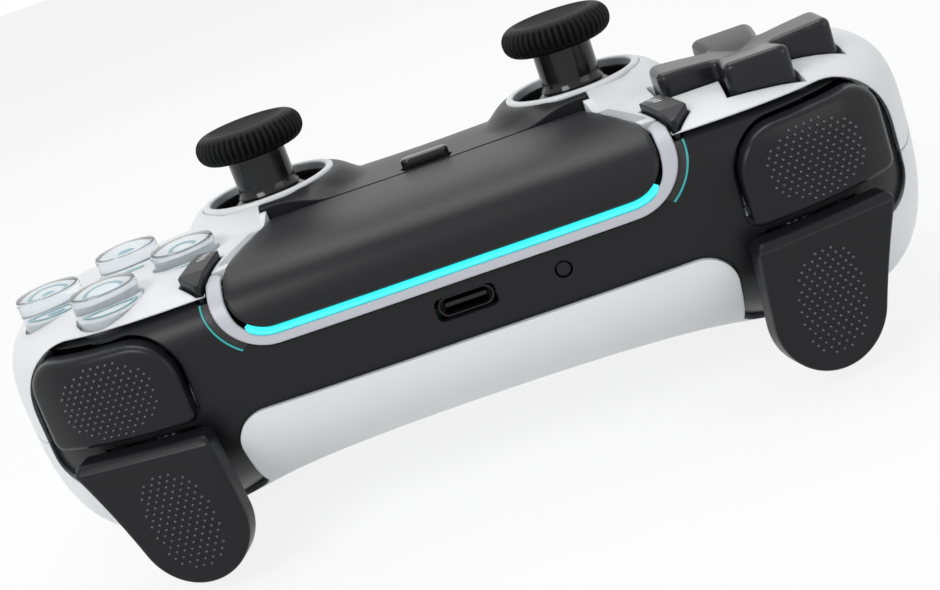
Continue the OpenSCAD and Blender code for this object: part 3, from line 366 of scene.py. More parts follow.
def smooth(obj, angle=35):
    begin(obj)
    bpy.ops.object.shade_smooth_by_angle(angle=math.radians(angle))
    return obj


def lathe(name, profile, centre, steps=96, closed=False):
    """A profile of (radius, height) points in millimetres turned round an upright line."""
    clear_selection()
    bpy.ops.mesh.primitive_circle_add(vertices=len(profile), fill_type="NOTHING")
    obj = named(name)
    p = np.asarray(profile, float)
    set_places(obj, np.stack([p[:, 0], np.zeros(len(p)), p[:, 1]], -1) * MM)
    if not closed:
        edit(obj, lambda: bpy.ops.mesh.select_all(action="DESELECT"))
        ends = {0, len(p) - 1}
        for e in obj.data.edges:
            e.select = set(e.vertices) == ends
        bpy.ops.object.mode_set(mode="EDIT")
        bpy.ops.mesh.select_mode(type="EDGE")
        bpy.ops.mesh.delete(type="EDGE")
        bpy.ops.object.mode_set(mode="OBJECT")
    apply(obj, "SCREW", axis="Z", angle=2 * math.pi, steps=steps, render_steps=steps,
          use_merge_vertices=True, merge_threshold=1e-6, use_normal_calculate=True)
    tidy_mesh(obj)
    shift(obj, *centre)
    return obj


def arc(cx, cy, r, a0, a1, n=8):
    """Points of an arc, for outlines and profiles."""
    a = np.radians(np.linspace(a0, a1, n + 1))
    return np.stack([cx + r * np.cos(a), cy + r * np.sin(a)], -1)


def bend(*sizes):
    """An arc as profile points."""
    return [tuple(p) for p in arc(*sizes)]


def circle(x, y, r, n):
    return arc(x, y, r, 0, 360, n)[:-1]


def box_plan(x, y0, y1):
    return [(-x, y0), (x, y0), (x, y1), (-x, y1)]


def around(*circles):
    """Outline stretched round circles given as (x, y, radius)."""
    pts = np.vstack([circle(x, y, r, 72) if r > 0 else [[x, y]] for x, y, r in circles])
    pts = np.unique(np.round(pts, 6), axis=0)

    def turn(a, b, c):
        return (b[0] - a[0]) * (c[1] - a[1]) - (b[1] - a[1]) * (c[0] - a[0])

    def half(points):
        out = []
        for p in points:
            while len(out) > 1 and turn(out[-2], out[-1], p) <= 0:
                out.pop()
            out.append(p)
        return out[:-1]
    return np.array(half(pts) + half(pts[::-1]))


def rounded(d, r):
    """Depth below the crown at distance d inside an edge that is rounded to radius r."""
    d = np.clip(d, 0, r)
    return r - np.sqrt(np.maximum(r * r - (r - d) ** 2, 0))


def nearest(points, border):
    """Distance of each point to the nearest one of a border."""
    best = np.full(points.shape[:-1], 1e9)
    for k in range(0, len(border), 64):
        best = np.minimum(best, np.linalg.norm(points[..., None, :] - border[k:k + 64], axis=-1).min(-1))
    return best


def edge_distance(points):
    """Distance of each point of a grid to the grid's border."""
    return nearest(points, np.vstack([points[0], points[-1], points[:, 0], points[:, -1]]))


# Shader helpers

class Value:
    """A shader socket that takes part in arithmetic; each sum or product adds a Math node."""

    def __init__(self, tree, socket):
        self.tree, self.socket = tree, socket

    def math(self, operation, *others):
        node = self.tree.nodes.new("ShaderNodeMath")
        node.operation = operation
        for k, v in enumerate((self,) + others):
            feed(self.tree, node.inputs[k], v)
        return Value(self.tree, node.outputs[0])

    def __add__(self, other):
        return self.math("ADD", other)

    __radd__ = __add__

    def __mul__(self, other):
        return self.math("MULTIPLY", other)

    __rmul__ = __mul__


def feed(tree, socket, value):
    if isinstance(value, Value):
        tree.links.new(value.socket, socket)
    else:
        socket.default_value = value


class Nodes:
    """A node tree, in which add() places any node."""

    def __init__(self, tree):
        self.tree = tree

    def add(self, kind, settings=None, out=0, at=(), **sockets):
        """A node with its settings and its sockets by number or name, and one of its outputs as a Value."""
        node = self.tree.nodes.new(kind)
        for key, value in (settings or {}).items():
            setattr(node, key, value)
        for k, value in enumerate(at):
            feed(self.tree, node.inputs[k], value)
        for key, value in sockets.items():
            feed(self.tree, node.inputs[key.replace("_", " ")], value)
        return Value(self.tree, node.outputs[out]) if node.outputs else None

    def seen(self):
        """1 for rays from the camera and for those that mirrors and glass send on, else 0."""
        rays = [self.add("ShaderNodeLightPath", out="Is %s Ray" % kind)
                for kind in ("Camera", "Glossy", "Transmission")]
        return rays[0].math("MAXIMUM", rays[1]).math("MAXIMUM", rays[2])


class Finish(Nodes):
    """The node tree of one material."""

    def __init__(self, name):
        self.material = bpy.data.materials.new(name)
        self.material.use_nodes = True
        super().__init__(self.material.node_tree)
        self.tree.nodes.clear()
        self.place = self.add("ShaderNodeTexCoord", out="Object")

    def noise(self, scale, detail=2.0, roughness=0.5):
        return self.add("ShaderNodeTexNoise", Vector=self.place, Scale=scale, Detail=detail,
                        Roughness=roughness)

    def mix(self, factor, a, b):
        """Blend of two colours."""
        blend = self.add("ShaderNodeMix", {"data_type": "RGBA"}, 2)
        for k, v in ((0, factor), (6, a), (7, b)):
            feed(self.tree, blend.socket.node.inputs[k], v)
        return blend

    def soft_edge(self, radius):
        return self.add("ShaderNodeBevel", {"samples": 6}, Radius=radius * MM)

    def close(self, shader):
        self.add("ShaderNodeOutputMaterial", Surface=shader)
        return self.material


def colour(rgb, k=1.0):
    return (rgb[0] * k, rgb[1] * k, rgb[2] * k, 1.0)


def moulded(name, rgb, rough, grain=0.0, grain_scale=2600.0, edge=0.25, spread=0.04, coat=0.0, shine=0.5):
    """Moulded plastic: faint mottling, fine grain and soft edges."""
    f = Finish(name)
    cloud = f.noise(90.0, 3.0)
    fine = f.noise(grain_scale, 2.0, 0.6)
    base = f.mix(cloud, colour(rgb, 1 - spread), colour(rgb, 1 + spread))
    bump = f.add("ShaderNodeBump", Strength=grain, Distance=0.06 * MM, Height=fine, Normal=f.soft_edge(edge))
    return f.close(f.add("ShaderNodeBsdfPrincipled", Base_Color=base, Normal=bump,
                         Roughness=(rough - 0.03) + 0.06 * fine, Specular_IOR_Level=shine,
                         Coat_Weight=coat, Coat_Roughness=0.12))


def lit(name, rgb, strength):
    """An emitting finish with faint waves in its colour, for the light guide and for painted glow of its
    light.
    """
    f = Finish(name)
    base = f.mix(f.noise(140.0), colour(rgb, 0.92), colour(rgb, 1.08))
    return f.close(f.add("ShaderNodeBsdfPrincipled", Base_Color=base, Roughness=0.3, Emission_Color=base,
                         Emission_Strength=strength))


def clear(name, rgb):
    """Clear plastic with a faint haze."""
    f = Finish(name)
    haze = f.noise(600.0)
    base = f.mix(haze, colour(rgb, 0.98), colour(rgb))
    return f.close(f.add("ShaderNodeBsdfPrincipled", Base_Color=base, Normal=f.soft_edge(0.3),
                         Roughness=0.02 + 0.03 * haze, Transmission_Weight=1.0, IOR=1.46))


def metal_finish(name, rgb, rough):
    """Drawn or turned metal with fine grain."""
    f = Finish(name)
    fine, cloud = f.noise(3200.0), f.noise(120.0)
    base = f.mix(cloud, colour(rgb, 0.9), colour(rgb, 1.05))
    bump = f.add("ShaderNodeBump", Strength=0.15, Distance=0.04 * MM, Height=fine)
    return f.close(f.add("ShaderNodeBsdfPrincipled", Base_Color=base, Metallic=1.0, Normal=bump,
                         Roughness=rough + 0.12 * cloud))


def paint(obj, material):
    obj.data.materials.clear()
    obj.data.materials.append(material)
    return obj


MATERIALS = {}


def material(key):
    """The finishes, made once from the colours in the panel."""
    if MATERIALS:
        return MATERIALS[key]
    look = bpy.context.scene.gamepad_look
    white, black = tuple(look.shell_colour), tuple(look.band_colour)
    # Moulded plastics give their colour, roughness, grain and its scale, edge radius and mottling
    MATERIALS.update(
        shell=moulded("white_shell", white, 0.42, 0.10, 2400.0, 0.45, 0.012),
        ring=moulded("white_ring", white, 0.30, 0.03, 2600.0, 0.25, 0.01),
        # A darker copy of the shell's white, for painted shade of a bevel beside the touchpad
        lip=moulded("shell_lip_grey", tuple(0.55 * c for c in white), 0.36, 0.06, 2600.0, 0.3, 0.02),
        trim=moulded("pale_trim", tuple(look.trim_colour), 0.34, 0.06, 2600.0, 0.3, 0.02),
        band=moulded("black_band", black, 0.36, 0.14, 1900.0, 0.4, 0.05, shine=0.20),
        bezel=moulded("black_bezel", black, 0.36, 0.12, 2200.0, 0.4, 0.05, shine=0.20),
        pad=moulded("touchpad_black", black, 0.40, 0.18, 2000.0, 0.3, 0.05, shine=0.24),
        key=moulded("key_black", black, 0.30, 0.06, 2300.0, 0.3, 0.05, shine=0.20),
        # The dots get a black 2.5 times as light as the keys': painted highlight on the raised dots
        dot=moulded("dot_black_highlight", tuple(2.5 * c for c in black), 0.16, 0.0, 2300.0, 0.1, 0.05, shine=0.7),
        dpad=moulded("cross_black", tuple(1.2 * c for c in black), 0.24, 0.05, 2300.0, 0.4, 0.05, shine=0.26),
        gloss=moulded("stem_black", (0.006, 0.006, 0.0065), 0.12, 0.0, 2000.0, 0.2, 0.03, 0.1, shine=0.3),
        # Near-black for strips laid at the touchpad's lower corners: painted shade of a groove
        dark=moulded("painted_gap_shade", (0.006, 0.006, 0.007), 0.5, 0.05, 2000.0, 0.1, 0.03),
        rubber=moulded("rubber_black", (0.006, 0.006, 0.0065), 0.55, 0.4, 2600.0, 0.1, 0.06, shine=0.12),
        clear=clear("clear_button", (0.93, 0.97, 0.985)),
        core=moulded("button_core", (0.72, 0.75, 0.77), 0.4, 0.0, 2000.0, 0.2, 0.02),
        mark=moulded("button_mark", (0.24, 0.42, 0.46), 0.4, 0.0, 2000.0, 0.1, 0.03),
        dash=moulded("pale_mark", (0.62, 0.63, 0.66), 0.4, 0.0, 2000.0, 0.1, 0.03),
        light=lit("cyan_light", tuple(look.light_colour), look.light_strength),
        # A fainter copy of the light's colour that emits: painted glow of the lit strip on the band at the
        # touchpad's corners
        glow=lit("painted_teal_light", tuple(0.3 * c for c in look.light_colour), 0.5 * look.light_strength),
        steel=metal_finish("steel", (0.62, 0.63, 0.65), 0.24),
        board=moulded("board_green", (0.02, 0.10, 0.05), 0.4, 0.25, 900.0, 0.1, 0.2),
        wrap=moulded("cell_wrap", (0.03, 0.035, 0.05), 0.35, 0.1, 700.0, 0.3, 0.1),
    )
    return MATERIALS[key]


def place(obj, body, slot, look, *nodes, angle=35):
    """Finishes a piece: smooth shading, material, body and the nodes it stands for."""
    smooth(obj, angle)
    paint(obj, material(look))
    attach(obj, body)
    if nodes:
        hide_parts(*nodes)
    return obj


# Shapes shared by the pieces

def quadrants(start, power, n):
    """Angles over half a turn, closest where a section of that power bends most."""
    s = np.linspace(0, 1, n + 1)
    k = power / 2
    q = 90 * (0.85 * s ** k / (s ** k + (1 - s) ** k) + 0.15 * s)
    return start + np.concatenate([q, 90 + q[1:]])


def spaced(n, edge, k=6):
    """Places from 0 to 1 that crowd within an edge zone at both ends."""
    ends = edge * (1 - np.cos(np.linspace(0, np.pi / 2, k + 1)))
    return np.concatenate([ends[:-1], np.linspace(edge, 1 - edge, n), 1 - ends[:-1][::-1]])


def body_sheet(name, u, angle, inset, lift=0.0, floor=None):
    p = raised(form(u[:, None], angle[None, :], inset))
    p[..., 2] += lift
    if floor is not None:
        p[..., 2] = np.maximum(p[..., 2], floor)
    return face_out(grid_sheet(name, p), from_body)


# Beyond the body at the sides, and in front of every piece
FAR, PAST_Y = 90, 86
# The band's front view: circles of one side (x, z, radius), the leg beside the trigger, the panel below
BAND_BAR = ((61, 33.5, 11), (66, 26.4, 6), (35, 39.2, 6))
BAND_LEG = ((52.5, 12.2, 7.2), (44.6, 12.2, 3.6))
LEG_IN, LEG_OUT, LEG_LOW, LEG_TOP = 35, 57.8, 18.4, 26.4
PANEL_Z, PANEL_R, PANEL_LOW = 20.4, 6, -41
# Plan of the bezel and of its room: half width, near and far edge
BEZEL, BEZEL_ROOM = (29, -26, 18.05), (29.2, -30, 18.6)
# Wall of the bezel, and where the wells' walls (inner and outer radius, foot and top) and their rings start
BEZEL_WALL, WELL_WALL, RING_LOW, RING_OUT = 4.2, (10.95, 12.2, 42.5, 49.4), 49.55, WELL_R + RING_W
# The band: its wall, where its lower and its upper half end towards the player, and the height between them
BAND_WALL, BAND_LOW_Y, BAND_TOP_Y, BAND_STEP_Z = 1.8, 22.5, 34.5, 27.4
# Height range of the rooms cut into the face
ROOM_LOW, ROOM_TOP = 41, 80
# Powers of the body's upper and lower curve that the angles of its sheets are spaced for
UPPER, LOWER = 5, 2.4
# Case screws: radii round the head and the shank, and of the sleeve
HEAD_R, SHANK_R, SLEEVE_R = 2.7, 1.4, 3.4


def band_prism(grow, y0):
    """Front view of the black band pushed along Y."""
    circles = [(s * x, z, r + grow) for s in (-1, 1) for x, z, r in BAND_BAR]
    bar = prism("band_bar", around(*circles), "Y", y0, FAR)
    corners = ((LEG_IN - grow, LEG_LOW - grow), (LEG_OUT + grow, LEG_LOW - grow), (LEG_OUT + grow, LEG_TOP),
               (LEG_IN, LEG_TOP))
    for s in (-1, 1):
        leg = around(*[(s * x, z, 0) for x, z in corners], *[(s * x, z, r + grow) for x, z, r in BAND_LEG])
        combine(bar, prism("band_leg", leg, "Y", y0, FAR), "UNION")
    panel = around(*[(s * LEG_IN, PANEL_Z, PANEL_R - grow) for s in (-1, 1)],
                   *[(s * (LEG_IN + PANEL_R - grow), PANEL_LOW, 0) for s in (-1, 1)])
    return cut(bar, prism("panel", panel, "Y", 0, 95))


PAD_FRONT, PAD_REAR, PAD_REAR_Y, PAD_TURN_Y, PAD_Z, PAD_CORNER = 34.5, 27.5, 18.5, 43.0, 38.6, 6.0
PAD_GAP, LIGHT_H, TRIM_OUT, GLOW_OUT, SIDE_GAP = 0.45, 0.8, 2.85, 1.7, 0.25
TRIM_REAR_Y, CLICK_ROOM = 39.6, 0.65


def pad_prism(grow, y0=PAD_REAR_Y):
    """Room of the touchpad, grown all round its edge."""
    f, r = PAD_FRONT + grow, PAD_REAR + grow
    slope = (f - r) / (PAD_TURN_Y - PAD_REAR_Y)
    b = r + slope * (y0 - PAD_REAR_Y)
    outline = [(-b, y0), (b, y0), (f, PAD_TURN_Y), (f, PAST_Y), (-f, PAST_Y), (-f, PAD_TURN_Y)]
    plan = prism("pad_plan", outline, "Z", 32, 72)
    corners = [(s * (PAD_FRONT - PAD_CORNER), PAD_Z + PAD_CORNER, PAD_CORNER + grow) for s in (-1, 1)]
    view = prism("pad_view", around(*corners, *[(s * f, 78, 0) for s in (-1, 1)]), "Y", y0 - 1, PAST_Y)
    return combine(plan, view, "INTERSECT")


SIDE_AT, SIDE_TURN = (36.72, 39.4), math.radians(15.945)
SIDE_PLAN = [(0.4, -6.4), (4.4, -7.2), (4.2, 2.4), (0.6, 5.4), (-0.2, 5.4)]


def side_point(x, y):
    """A place beside the touchpad's sloping edge, in plan."""
    c, s = math.cos(SIDE_TURN), math.sin(SIDE_TURN)
    return SIDE_AT[0] + x * c + y * s, SIDE_AT[1] - x * s + y * c


def side_prisms(grow, low):
    """Rooms of the two small buttons beside the touchpad."""
    p = np.array(SIDE_PLAN)
    middle_point = p.mean(0)
    out = []
    n = len(p)
    for i in range(n):
        a, b, c = p[i - 1], p[i], p[(i + 1) % n]
        d1, d2 = (b - a) / np.linalg.norm(b - a), (c - b) / np.linalg.norm(c - b)
        n1, n2 = np.array([d1[1], -d1[0]]), np.array([d2[1], -d2[0]])
        if n1 @ (b - middle_point) < 0:
            n1, n2 = -n1, -n2
        out.append(b + grow * (n1 + n2) / (1 + n1 @ n2))
    plan = np.array([side_point(*q) for q in out])
    return [prism("side_room", plan * [s, 1], "Z", low, 88) for s in (-1, 1)]


def rounded_box(x0, x1, y0, y1, r):
    """Outline of a rounded rectangle."""
    return around(*[(x, y, r) for x in (x0 + r, x1 - r) for y in (y0 + r, y1 - r)])


def disc(name, x, y, r, z0, z1, n=64):
    return prism(name, circle(x, y, r, n), "Z", z0, z1)


def wells():
    """Rooms of the sticks and of the rings round them."""
    return [disc("well", s * STICK[0], STICK[1], WELL_R + RING_W + 0.1, 40, 80, 96) for s in (-1, 1)]


CROSS_L, CROSS_W, CROSS_END, CROSS_GAP = 14.4, 9.0, 10.8, 0.79


def cross_outline(grow):
    pts = []
    for k in range(4):
        a = -math.pi / 2 * k
        for x, y in ((-CROSS_W / 2 - grow, CROSS_W / 2 + grow), (-CROSS_END / 2 - grow, CROSS_L + grow),
                     (CROSS_END / 2 + grow, CROSS_L + grow)):
            pts.append((x * math.cos(a) - y * math.sin(a), x * math.sin(a) + y * math.cos(a)))
    return np.array(pts)


BUTTON_SPOTS = {"north": (0, 1), "east": (1, 0), "south": (0, -1), "west": (-1, 0)}
BUTTON_R, BUTTON_PITCH, BUTTON_TOP = 5.5, 11.8, 51.0


def button_at(name):
    s = BUTTON_SPOTS[name]
    return CLUSTER[0] + s[0] * BUTTON_PITCH, CLUSTER[1] + s[1] * BUTTON_PITCH


HOME = (0.0, 15.3, 8.4, 3.0)


def home_outline(grow):
    r = HOME[3] / 2 + grow
    return around(*[(s * (HOME[2] - HOME[3]) / 2, HOME[1], r) for s in (-1, 1)])


def body_stations(step):
    dome = np.linspace(0, 1, 15)[1:]
    line = np.linspace(-LAST, LAST, int(2 * LAST / step) + 1)
    return np.concatenate([-(LAST + dome[::-1]), line, LAST + dome])


SCREWS = [(62, -33, 5.0), (41, -14, 11.0)]
JACK = (0.0, 27.0, 2.65)


class GAMEPAD_OT_shells(bpy.types.Operator):
    """Models the white front and rear shells"""
    bl_idname = "gamepad.shells"
    bl_label = "Shells"

    def execute(self, context):
        u = body_stations(0.08)
        front = body_sheet("front_shell_skin", u, quadrants(0, UPPER, 40), 0)
        thicken(front, WALL)
        cut(front, band_prism(PART_GAP, BAND_TOP_Y - PART_GAP), pad_prism(PAD_GAP),
            pad_prism(TRIM_OUT + PART_GAP, TRIM_REAR_Y))
        cut(front, prism("bezel_room", box_plan(*BEZEL_ROOM), "Z", 32.8, 70))
        cut(front, *side_prisms(RUN_GAP, 40))
        cut(front, prism("cross_room", cross_outline(CROSS_GAP) + [-CLUSTER[0], CLUSTER[1]], "Z", ROOM_LOW,
                         ROOM_TOP))
        for name in BUTTON_SPOTS:
            cut(front, disc("button_room", *button_at(name), BUTTON_R + RUN_GAP, ROOM_LOW, ROOM_TOP))
        cut(front, *wells())
        place(front, "body", "white_plastic", "shell", "front_shell")
        rear = body_sheet("rear_shell_skin", u, quadrants(180, LOWER, 36), 0, -PART_GAP, 0.0)
        thicken(rear, WALL)
        cut(rear, band_prism(PART_GAP, BAND_LOW_Y - 1), prism("jack_room", circle(*JACK, 40), "Y", -26, 0))
        turn = np.concatenate([quadrants(0, UPPER, 24), quadrants(180, LOWER, 24)[1:]])
        inside = grid_sheet("inside", form(u[:, None], turn[None], WALL / 2))
        sleeves = []
        for s in (-1, 1):
            for x, y, z in SCREWS:
                cut(rear, disc("screw_room", s * x, y, HEAD_R, -5, 14, 40))
                profile = [(HEAD_R, 0.4), (HEAD_R, z + 1.6), (SHANK_R, z + 1.6), (SHANK_R, z + 3),
                           (SLEEVE_R, z + 3), (SLEEVE_R, 0.4)]
                sleeve = lathe("screw_sleeve", profile, (s * x, y, 0), 40, closed=True)
                sleeves.append(combine(sleeve, copy_of(inside, "inside_copy"), "INTERSECT"))
        drop(inside)
        join(rear, *sleeves)
        place(rear, "body", "white_plastic", "shell", "rear_shell")
        return {"FINISHED"}


BUMPER = dict(x0=45.0, w=24.8, z0=28.3, h=14.5, top=(7.0, 5.0), low=1.5, proud=1.8)
TRIGGER = dict(x0=44.0, w=22.8, low=2.9, top=26.6, tip=(52.5, 12.2, 9.3), bevel=1.4, y=52.1, yaw=13.0,
               hollow=60.0)
LEVER_SLOT = (44.6, 19.84, 61.8, 26.8)
# Port opening (width, height, corner), reset button (x, diameter, gap) and the height of both
PORT, RESET, PORT_Z = (9.8, 3.8, 1.1), (-15.6, 2.2, 0.3), 32


def bumper_outline(grow):
    b = BUMPER
    x1, zt = b["x0"] + b["w"], b["z0"] + b["h"]
    return around((b["x0"] + b["top"][0], zt - b["top"][0], b["top"][0] + grow),
                  (x1 - b["top"][1], zt - b["top"][1], b["top"][1] + grow),
                  (b["x0"] + b["low"], b["z0"] + b["low"], b["low"] + grow),
                  (x1 - b["low"], b["z0"] + b["low"], b["low"] + grow))


def mirrored(outline, s):
    o = np.asarray(outline) * [s, 1]
    return o if s > 0 else o[::-1]


class GAMEPAD_OT_band(bpy.types.Operator):
    """Models the black shoulder band with its port and windows"""
    bl_idname = "gamepad.band"
    bl_label = "Shoulder band"

    def execute(self, context):
        low = -quadrants(0, LOWER, 40)[:38][::-1]
        high = quadrants(0, UPPER, 44)[1:44]
        band = body_sheet("shoulder_band_skin", np.linspace(-6.4, 6.4, 257), np.concatenate([low, high]), 0.8)
        thicken(band, BAND_WALL)
        combine(band, band_prism(0, BAND_LOW_Y), "INTERSECT")
        cut(band, prism("behind", box_plan(FAR, 0, BAND_TOP_Y), "Z", BAND_STEP_Z, 70))
        cut(band, pad_prism(TRIM_OUT + PART_GAP))
        w, h = PORT[0] / 2, PORT[1] / 2
        port = rounded_box(-w, w, PORT_Z - h, PORT_Z + h, PORT[2])
        reset = circle(RESET[0], PORT_Z, RESET[1] / 2 + RESET[2], 48)
        cut(band, prism("port_room", port, "Y", 43, PAST_Y), prism("reset_room", reset, "Y", 43, PAST_Y))
        for s in (-1, 1):
            cut(band, prism("bumper_room", mirrored(bumper_outline(RUN_GAP + 0.2), s), "Y", 0, PAST_Y))
            x0, z0, x1, z1 = LEVER_SLOT
            slot = mirrored([(x0, z0), (x1, z0), (x1, z1), (x0, z1)], s)
            cut(band, prism("lever_room", slot, "Y", 0, PAST_Y))
        cut(band, *side_prisms(RUN_GAP, 40))
        place(band, "body", "black_plastic", "band", "shoulder_band")
        return {"FINISHED"}


class GAMEPAD_OT_bezel(bpy.types.Operator):
    """Models the black bezel between the sticks and the white rings"""
    bl_idname = "gamepad.bezel"
    bl_label = "Bezel and rings"

    def execute(self, context):
        upper = quadrants(0, UPPER, 64)
        angle = np.concatenate([upper[upper > 70], [181.0, 184.0]])
        bezel = body_sheet("center_bezel_skin", np.linspace(-3.2, 3.2, 161), angle, -0.3)
        thicken(bezel, BEZEL_WALL)
        combine(bezel, prism("bezel_plan", box_plan(*BEZEL), "Z", 33, 70), "INTERSECT")
        cut(bezel, *wells())
        cut(bezel, prism("home_room", home_outline(RUN_GAP), "Z", 40, 70))
        r0, r1, z0, z1 = WELL_WALL
        walls = [lathe("well_wall", [(r0, z0), (r0, z1), (r1, z1), (r1, z0)], (s * STICK[0], STICK[1], 0), 96,
                       closed=True) for s in (-1, 1)]
        join(bezel, *walls)
        place(bezel, "body", "black_plastic", "bezel", "center_bezel")
        ring = [(WELL_R, RING_LOW), (RING_OUT, RING_LOW)]
        ring += bend(RING_OUT - 0.5, RING_LOW + 1.0, 0.5, 0, 90, 5)
        ring += bend(WELL_R + 0.35, RING_LOW + 1.15, 0.35, 90, 180, 4)
        rings = [lathe("stick_ring", ring, (s * STICK[0], STICK[1], 0), 128, closed=True) for s in (-1, 1)]
        join(*rings)
        rings[0].name = rings[0].data.name = "stick_ring_pair"
        place(rings[0], "body", "white_plastic", "ring", "stick_rings")
        return {"FINISHED"}


def drape(grow, cols, rows, inset):
    """The touchpad's plan, grown all round, laid on the body: rows run from its rear edge down its front."""
    def half_width(y):
        t = np.clip((y - PAD_REAR_Y) / (PAD_TURN_Y - PAD_REAR_Y), 0, 1)
        return PAD_REAR + grow + (PAD_FRONT - PAD_REAR) * t

    def low(x):
        e = np.clip(np.abs(x) - (PAD_FRONT - PAD_CORNER), 0, PAD_CORNER + grow)
        return PAD_Z + PAD_CORNER - np.sqrt(np.maximum((PAD_CORNER + grow) ** 2 - e ** 2, 0))

    def lay(c, a):
        def off(u):
            p = form(u, a, inset)
            return p[..., 0] - np.abs(c) * half_width(p[..., 1])
        u = solve(off, np.zeros(a.shape), np.full(a.shape, 4.5))
        return form(u, a, inset), form_normal(u, a, inset)

    tries = quadrants(0, UPPER, 150)
    tries = tries[(tries > 0.4) & (tries < 118)]
    c = np.asarray(cols)[:, None]
    table = lay(c + 0 * tries, tries + 0 * c)[0]
    angle = np.empty((len(cols), len(rows)))
    for k in range(len(cols)):
        p = table[k]
        first = np.interp(-PAD_REAR_Y, -p[:, 1], tries)
        last = np.interp(0, p[:, 2] - low(p[:, 0]), tries)
        fine = np.linspace(first, last, 200)
        q = np.stack([np.interp(fine, tries, p[:, m]) for m in range(3)], -1)
        run = np.concatenate([[0], np.cumsum(np.linalg.norm(np.diff(q, axis=0), axis=1))])
        angle[k] = np.interp(np.asarray(rows) * run[-1], run, fine)
    p, n = lay(c + 0 * angle, angle)
    n *= np.sign(n[..., 1] + n[..., 2])[..., None]
    for field in (p, n):
        field[..., 0] *= np.where(c < 0, -1, 1)
    return p, n


def raise_sheet(p, n, proud, edge):
    """A draped grid stood off its surface, with rounded edges."""
    return p + n * (proud - rounded(edge_distance(p), edge))[..., None]


def laid(name, p, n, proud, edge, thick):
    """A draped grid as a piece with rounded edges and a thickness."""
    piece = face_out(grid_sheet(name, raise_sheet(p, n, proud, edge)), from_body)
    thicken(piece, thick)
    return piece


def rim_path(grow, along, across):
    """Sides and front edge of the touchpad's plan, grown by a distance, and the normals there."""
    return [np.concatenate([f[0, :-1], f[:, -1], f[-1, :-1][::-1]]) for f in drape(grow, across, along, 0.0)]


class GAMEPAD_OT_touchpad(bpy.types.Operator):
    """Models the touchpad, its pale trim and the lit strip"""
    bl_idname = "gamepad.touchpad"
    bl_label = "Touchpad"

    def execute(self, context):
        cols = 2 * spaced(80, 0.05, 10) - 1
        pad = laid("touchpad_plate", *drape(0, cols, spaced(60, 0.05, 8), 0), proud=0.5, edge=0.8, thick=2.0)
        co = places(pad)
        co[:, 0] = np.clip(co[:, 0], -PAD_FRONT * MM, PAD_FRONT * MM)
        set_places(pad, co)
        place(pad, "touchpad", "black_plastic", "pad", "touchpad")
        along = np.linspace(0, 1, 60)
        across = np.sin(np.linspace(-np.pi / 2, np.pi / 2, 161))
        steps = np.linspace(SIDE_GAP, TRIM_OUT + GLOW_OUT, 19)
        fields = [np.stack(f) for f in zip(*[rim_path(g, along, across) for g in steps])]
        edge = fields[0][0]

        def strip(inner, outer, n, keep):
            """Points and normals between two distances from the touchpad's edge."""
            g = inner[:, None] + (outer - inner)[:, None] * np.linspace(0, 1, n)
            k = np.clip((g - steps[0]) / (steps[1] - steps[0]), 0, len(steps) - 1.001)
            i = k.astype(int)
            w = (k - i)[..., None]
            j = np.arange(len(edge))[:, None]
            return [(f[i, j] * (1 - w) + f[i + 1, j] * w)[keep] for f in fields]

        def level(g):
            return np.full(len(edge), g)

        def ramp(high, run):
            """Rises from 0 beside the touchpad to 1 along its front edge, over part of the corner."""
            return ease((PAD_Z + PAD_CORNER * high - edge[:, 2]) / (PAD_CORNER * run))

        front = ramp(0.36, 0.32)
        room = SIDE_GAP + CLICK_ROOM * ramp(0.85, 0.75)
        inner = np.maximum(room, SIDE_GAP + (PAD_GAP - SIDE_GAP + LIGHT_H + 0.05) * front)
        p, n = strip(inner, level(TRIM_OUT), 13, edge[:, 1] > TRIM_REAR_Y + 0.3)
        point = np.clip((p[:, 0, 1] - TRIM_REAR_Y - 0.3) / 2.2, 0.02, 1)
        p = p[:, -1:] + (p - p[:, -1:]) * point[:, None, None]
        trim = laid("touchpad_trim_frame", p, n, proud=0.1, edge=0.25, thick=1.8)
        place(trim, "body", "pale_trim", "trim", "touchpad_trim")
        p, n = strip(level(PAD_GAP + 0.06), np.maximum(inner - 0.11, PAD_GAP + 0.08), 5, front > 0.35)
        light = laid("light_strip_guide", p, n, proud=-0.15, edge=0.2, thick=1.2)
        place(light, "body", "light_guide", "light", "light_strip")
        outer = TRIM_OUT + GLOW_OUT
        # At the touchpad's lower corners a near-black strip laid just above the band is painted shade of a
        # groove, with no groove cut
        lines = (("groove_shade", TRIM_OUT + 0.1, outer - 0.35, -0.72, "dark", "black_plastic"),
                 # Beside it, an emitting teal line laid on the band is painted glow of the lit strip
                 ("glow", outer - 0.33, outer, -0.66, "glow", "light_guide"))
        for name, s in (("right", 1), ("left", -1)):
            corner = (s * edge[:, 0] > PAD_FRONT - 3.6) & (edge[:, 2] < PAD_Z + PAD_CORNER + 0.5)
            for part, g0, g1, up, look, slot in lines:
                p, n = strip(level(g0), level(g1), 5, corner)
                line = laid("corner_%s_%s" % (part, name), p, n, proud=up, edge=0.05, thick=0.5)
                place(line, "body", slot, look)
            # Grey strips laid on the shell beside the touchpad: painted shade standing in for a bevel that
            # the shell doesn't have
            beside = (s * edge[:, 0] > 0) & (edge[:, 1] > 23.0) & (edge[:, 1] < 38.0)
            p, n = strip(level(PAD_GAP + 0.05), level(2.4), 5, beside)
            lip = laid("shell_lip_" + name, p, n, proud=0.06, edge=0.05, thick=0.4)
            place(lip, "body", "white_plastic", "lip")
        return {"FINISHED"}


# Dashes on the side buttons: middle one and step along the touchpad's edge, half length, slope and radius
DASH_AT, DASH_STEP, DASH_HALF, DASH_SLOPE, DASH_R = (2.3, -4.6), 1.1, 0.55, 0.14, 0.17
# Foot and top of the centre button
HOME_LOW, HOME_TOP = 44.6, 49.6


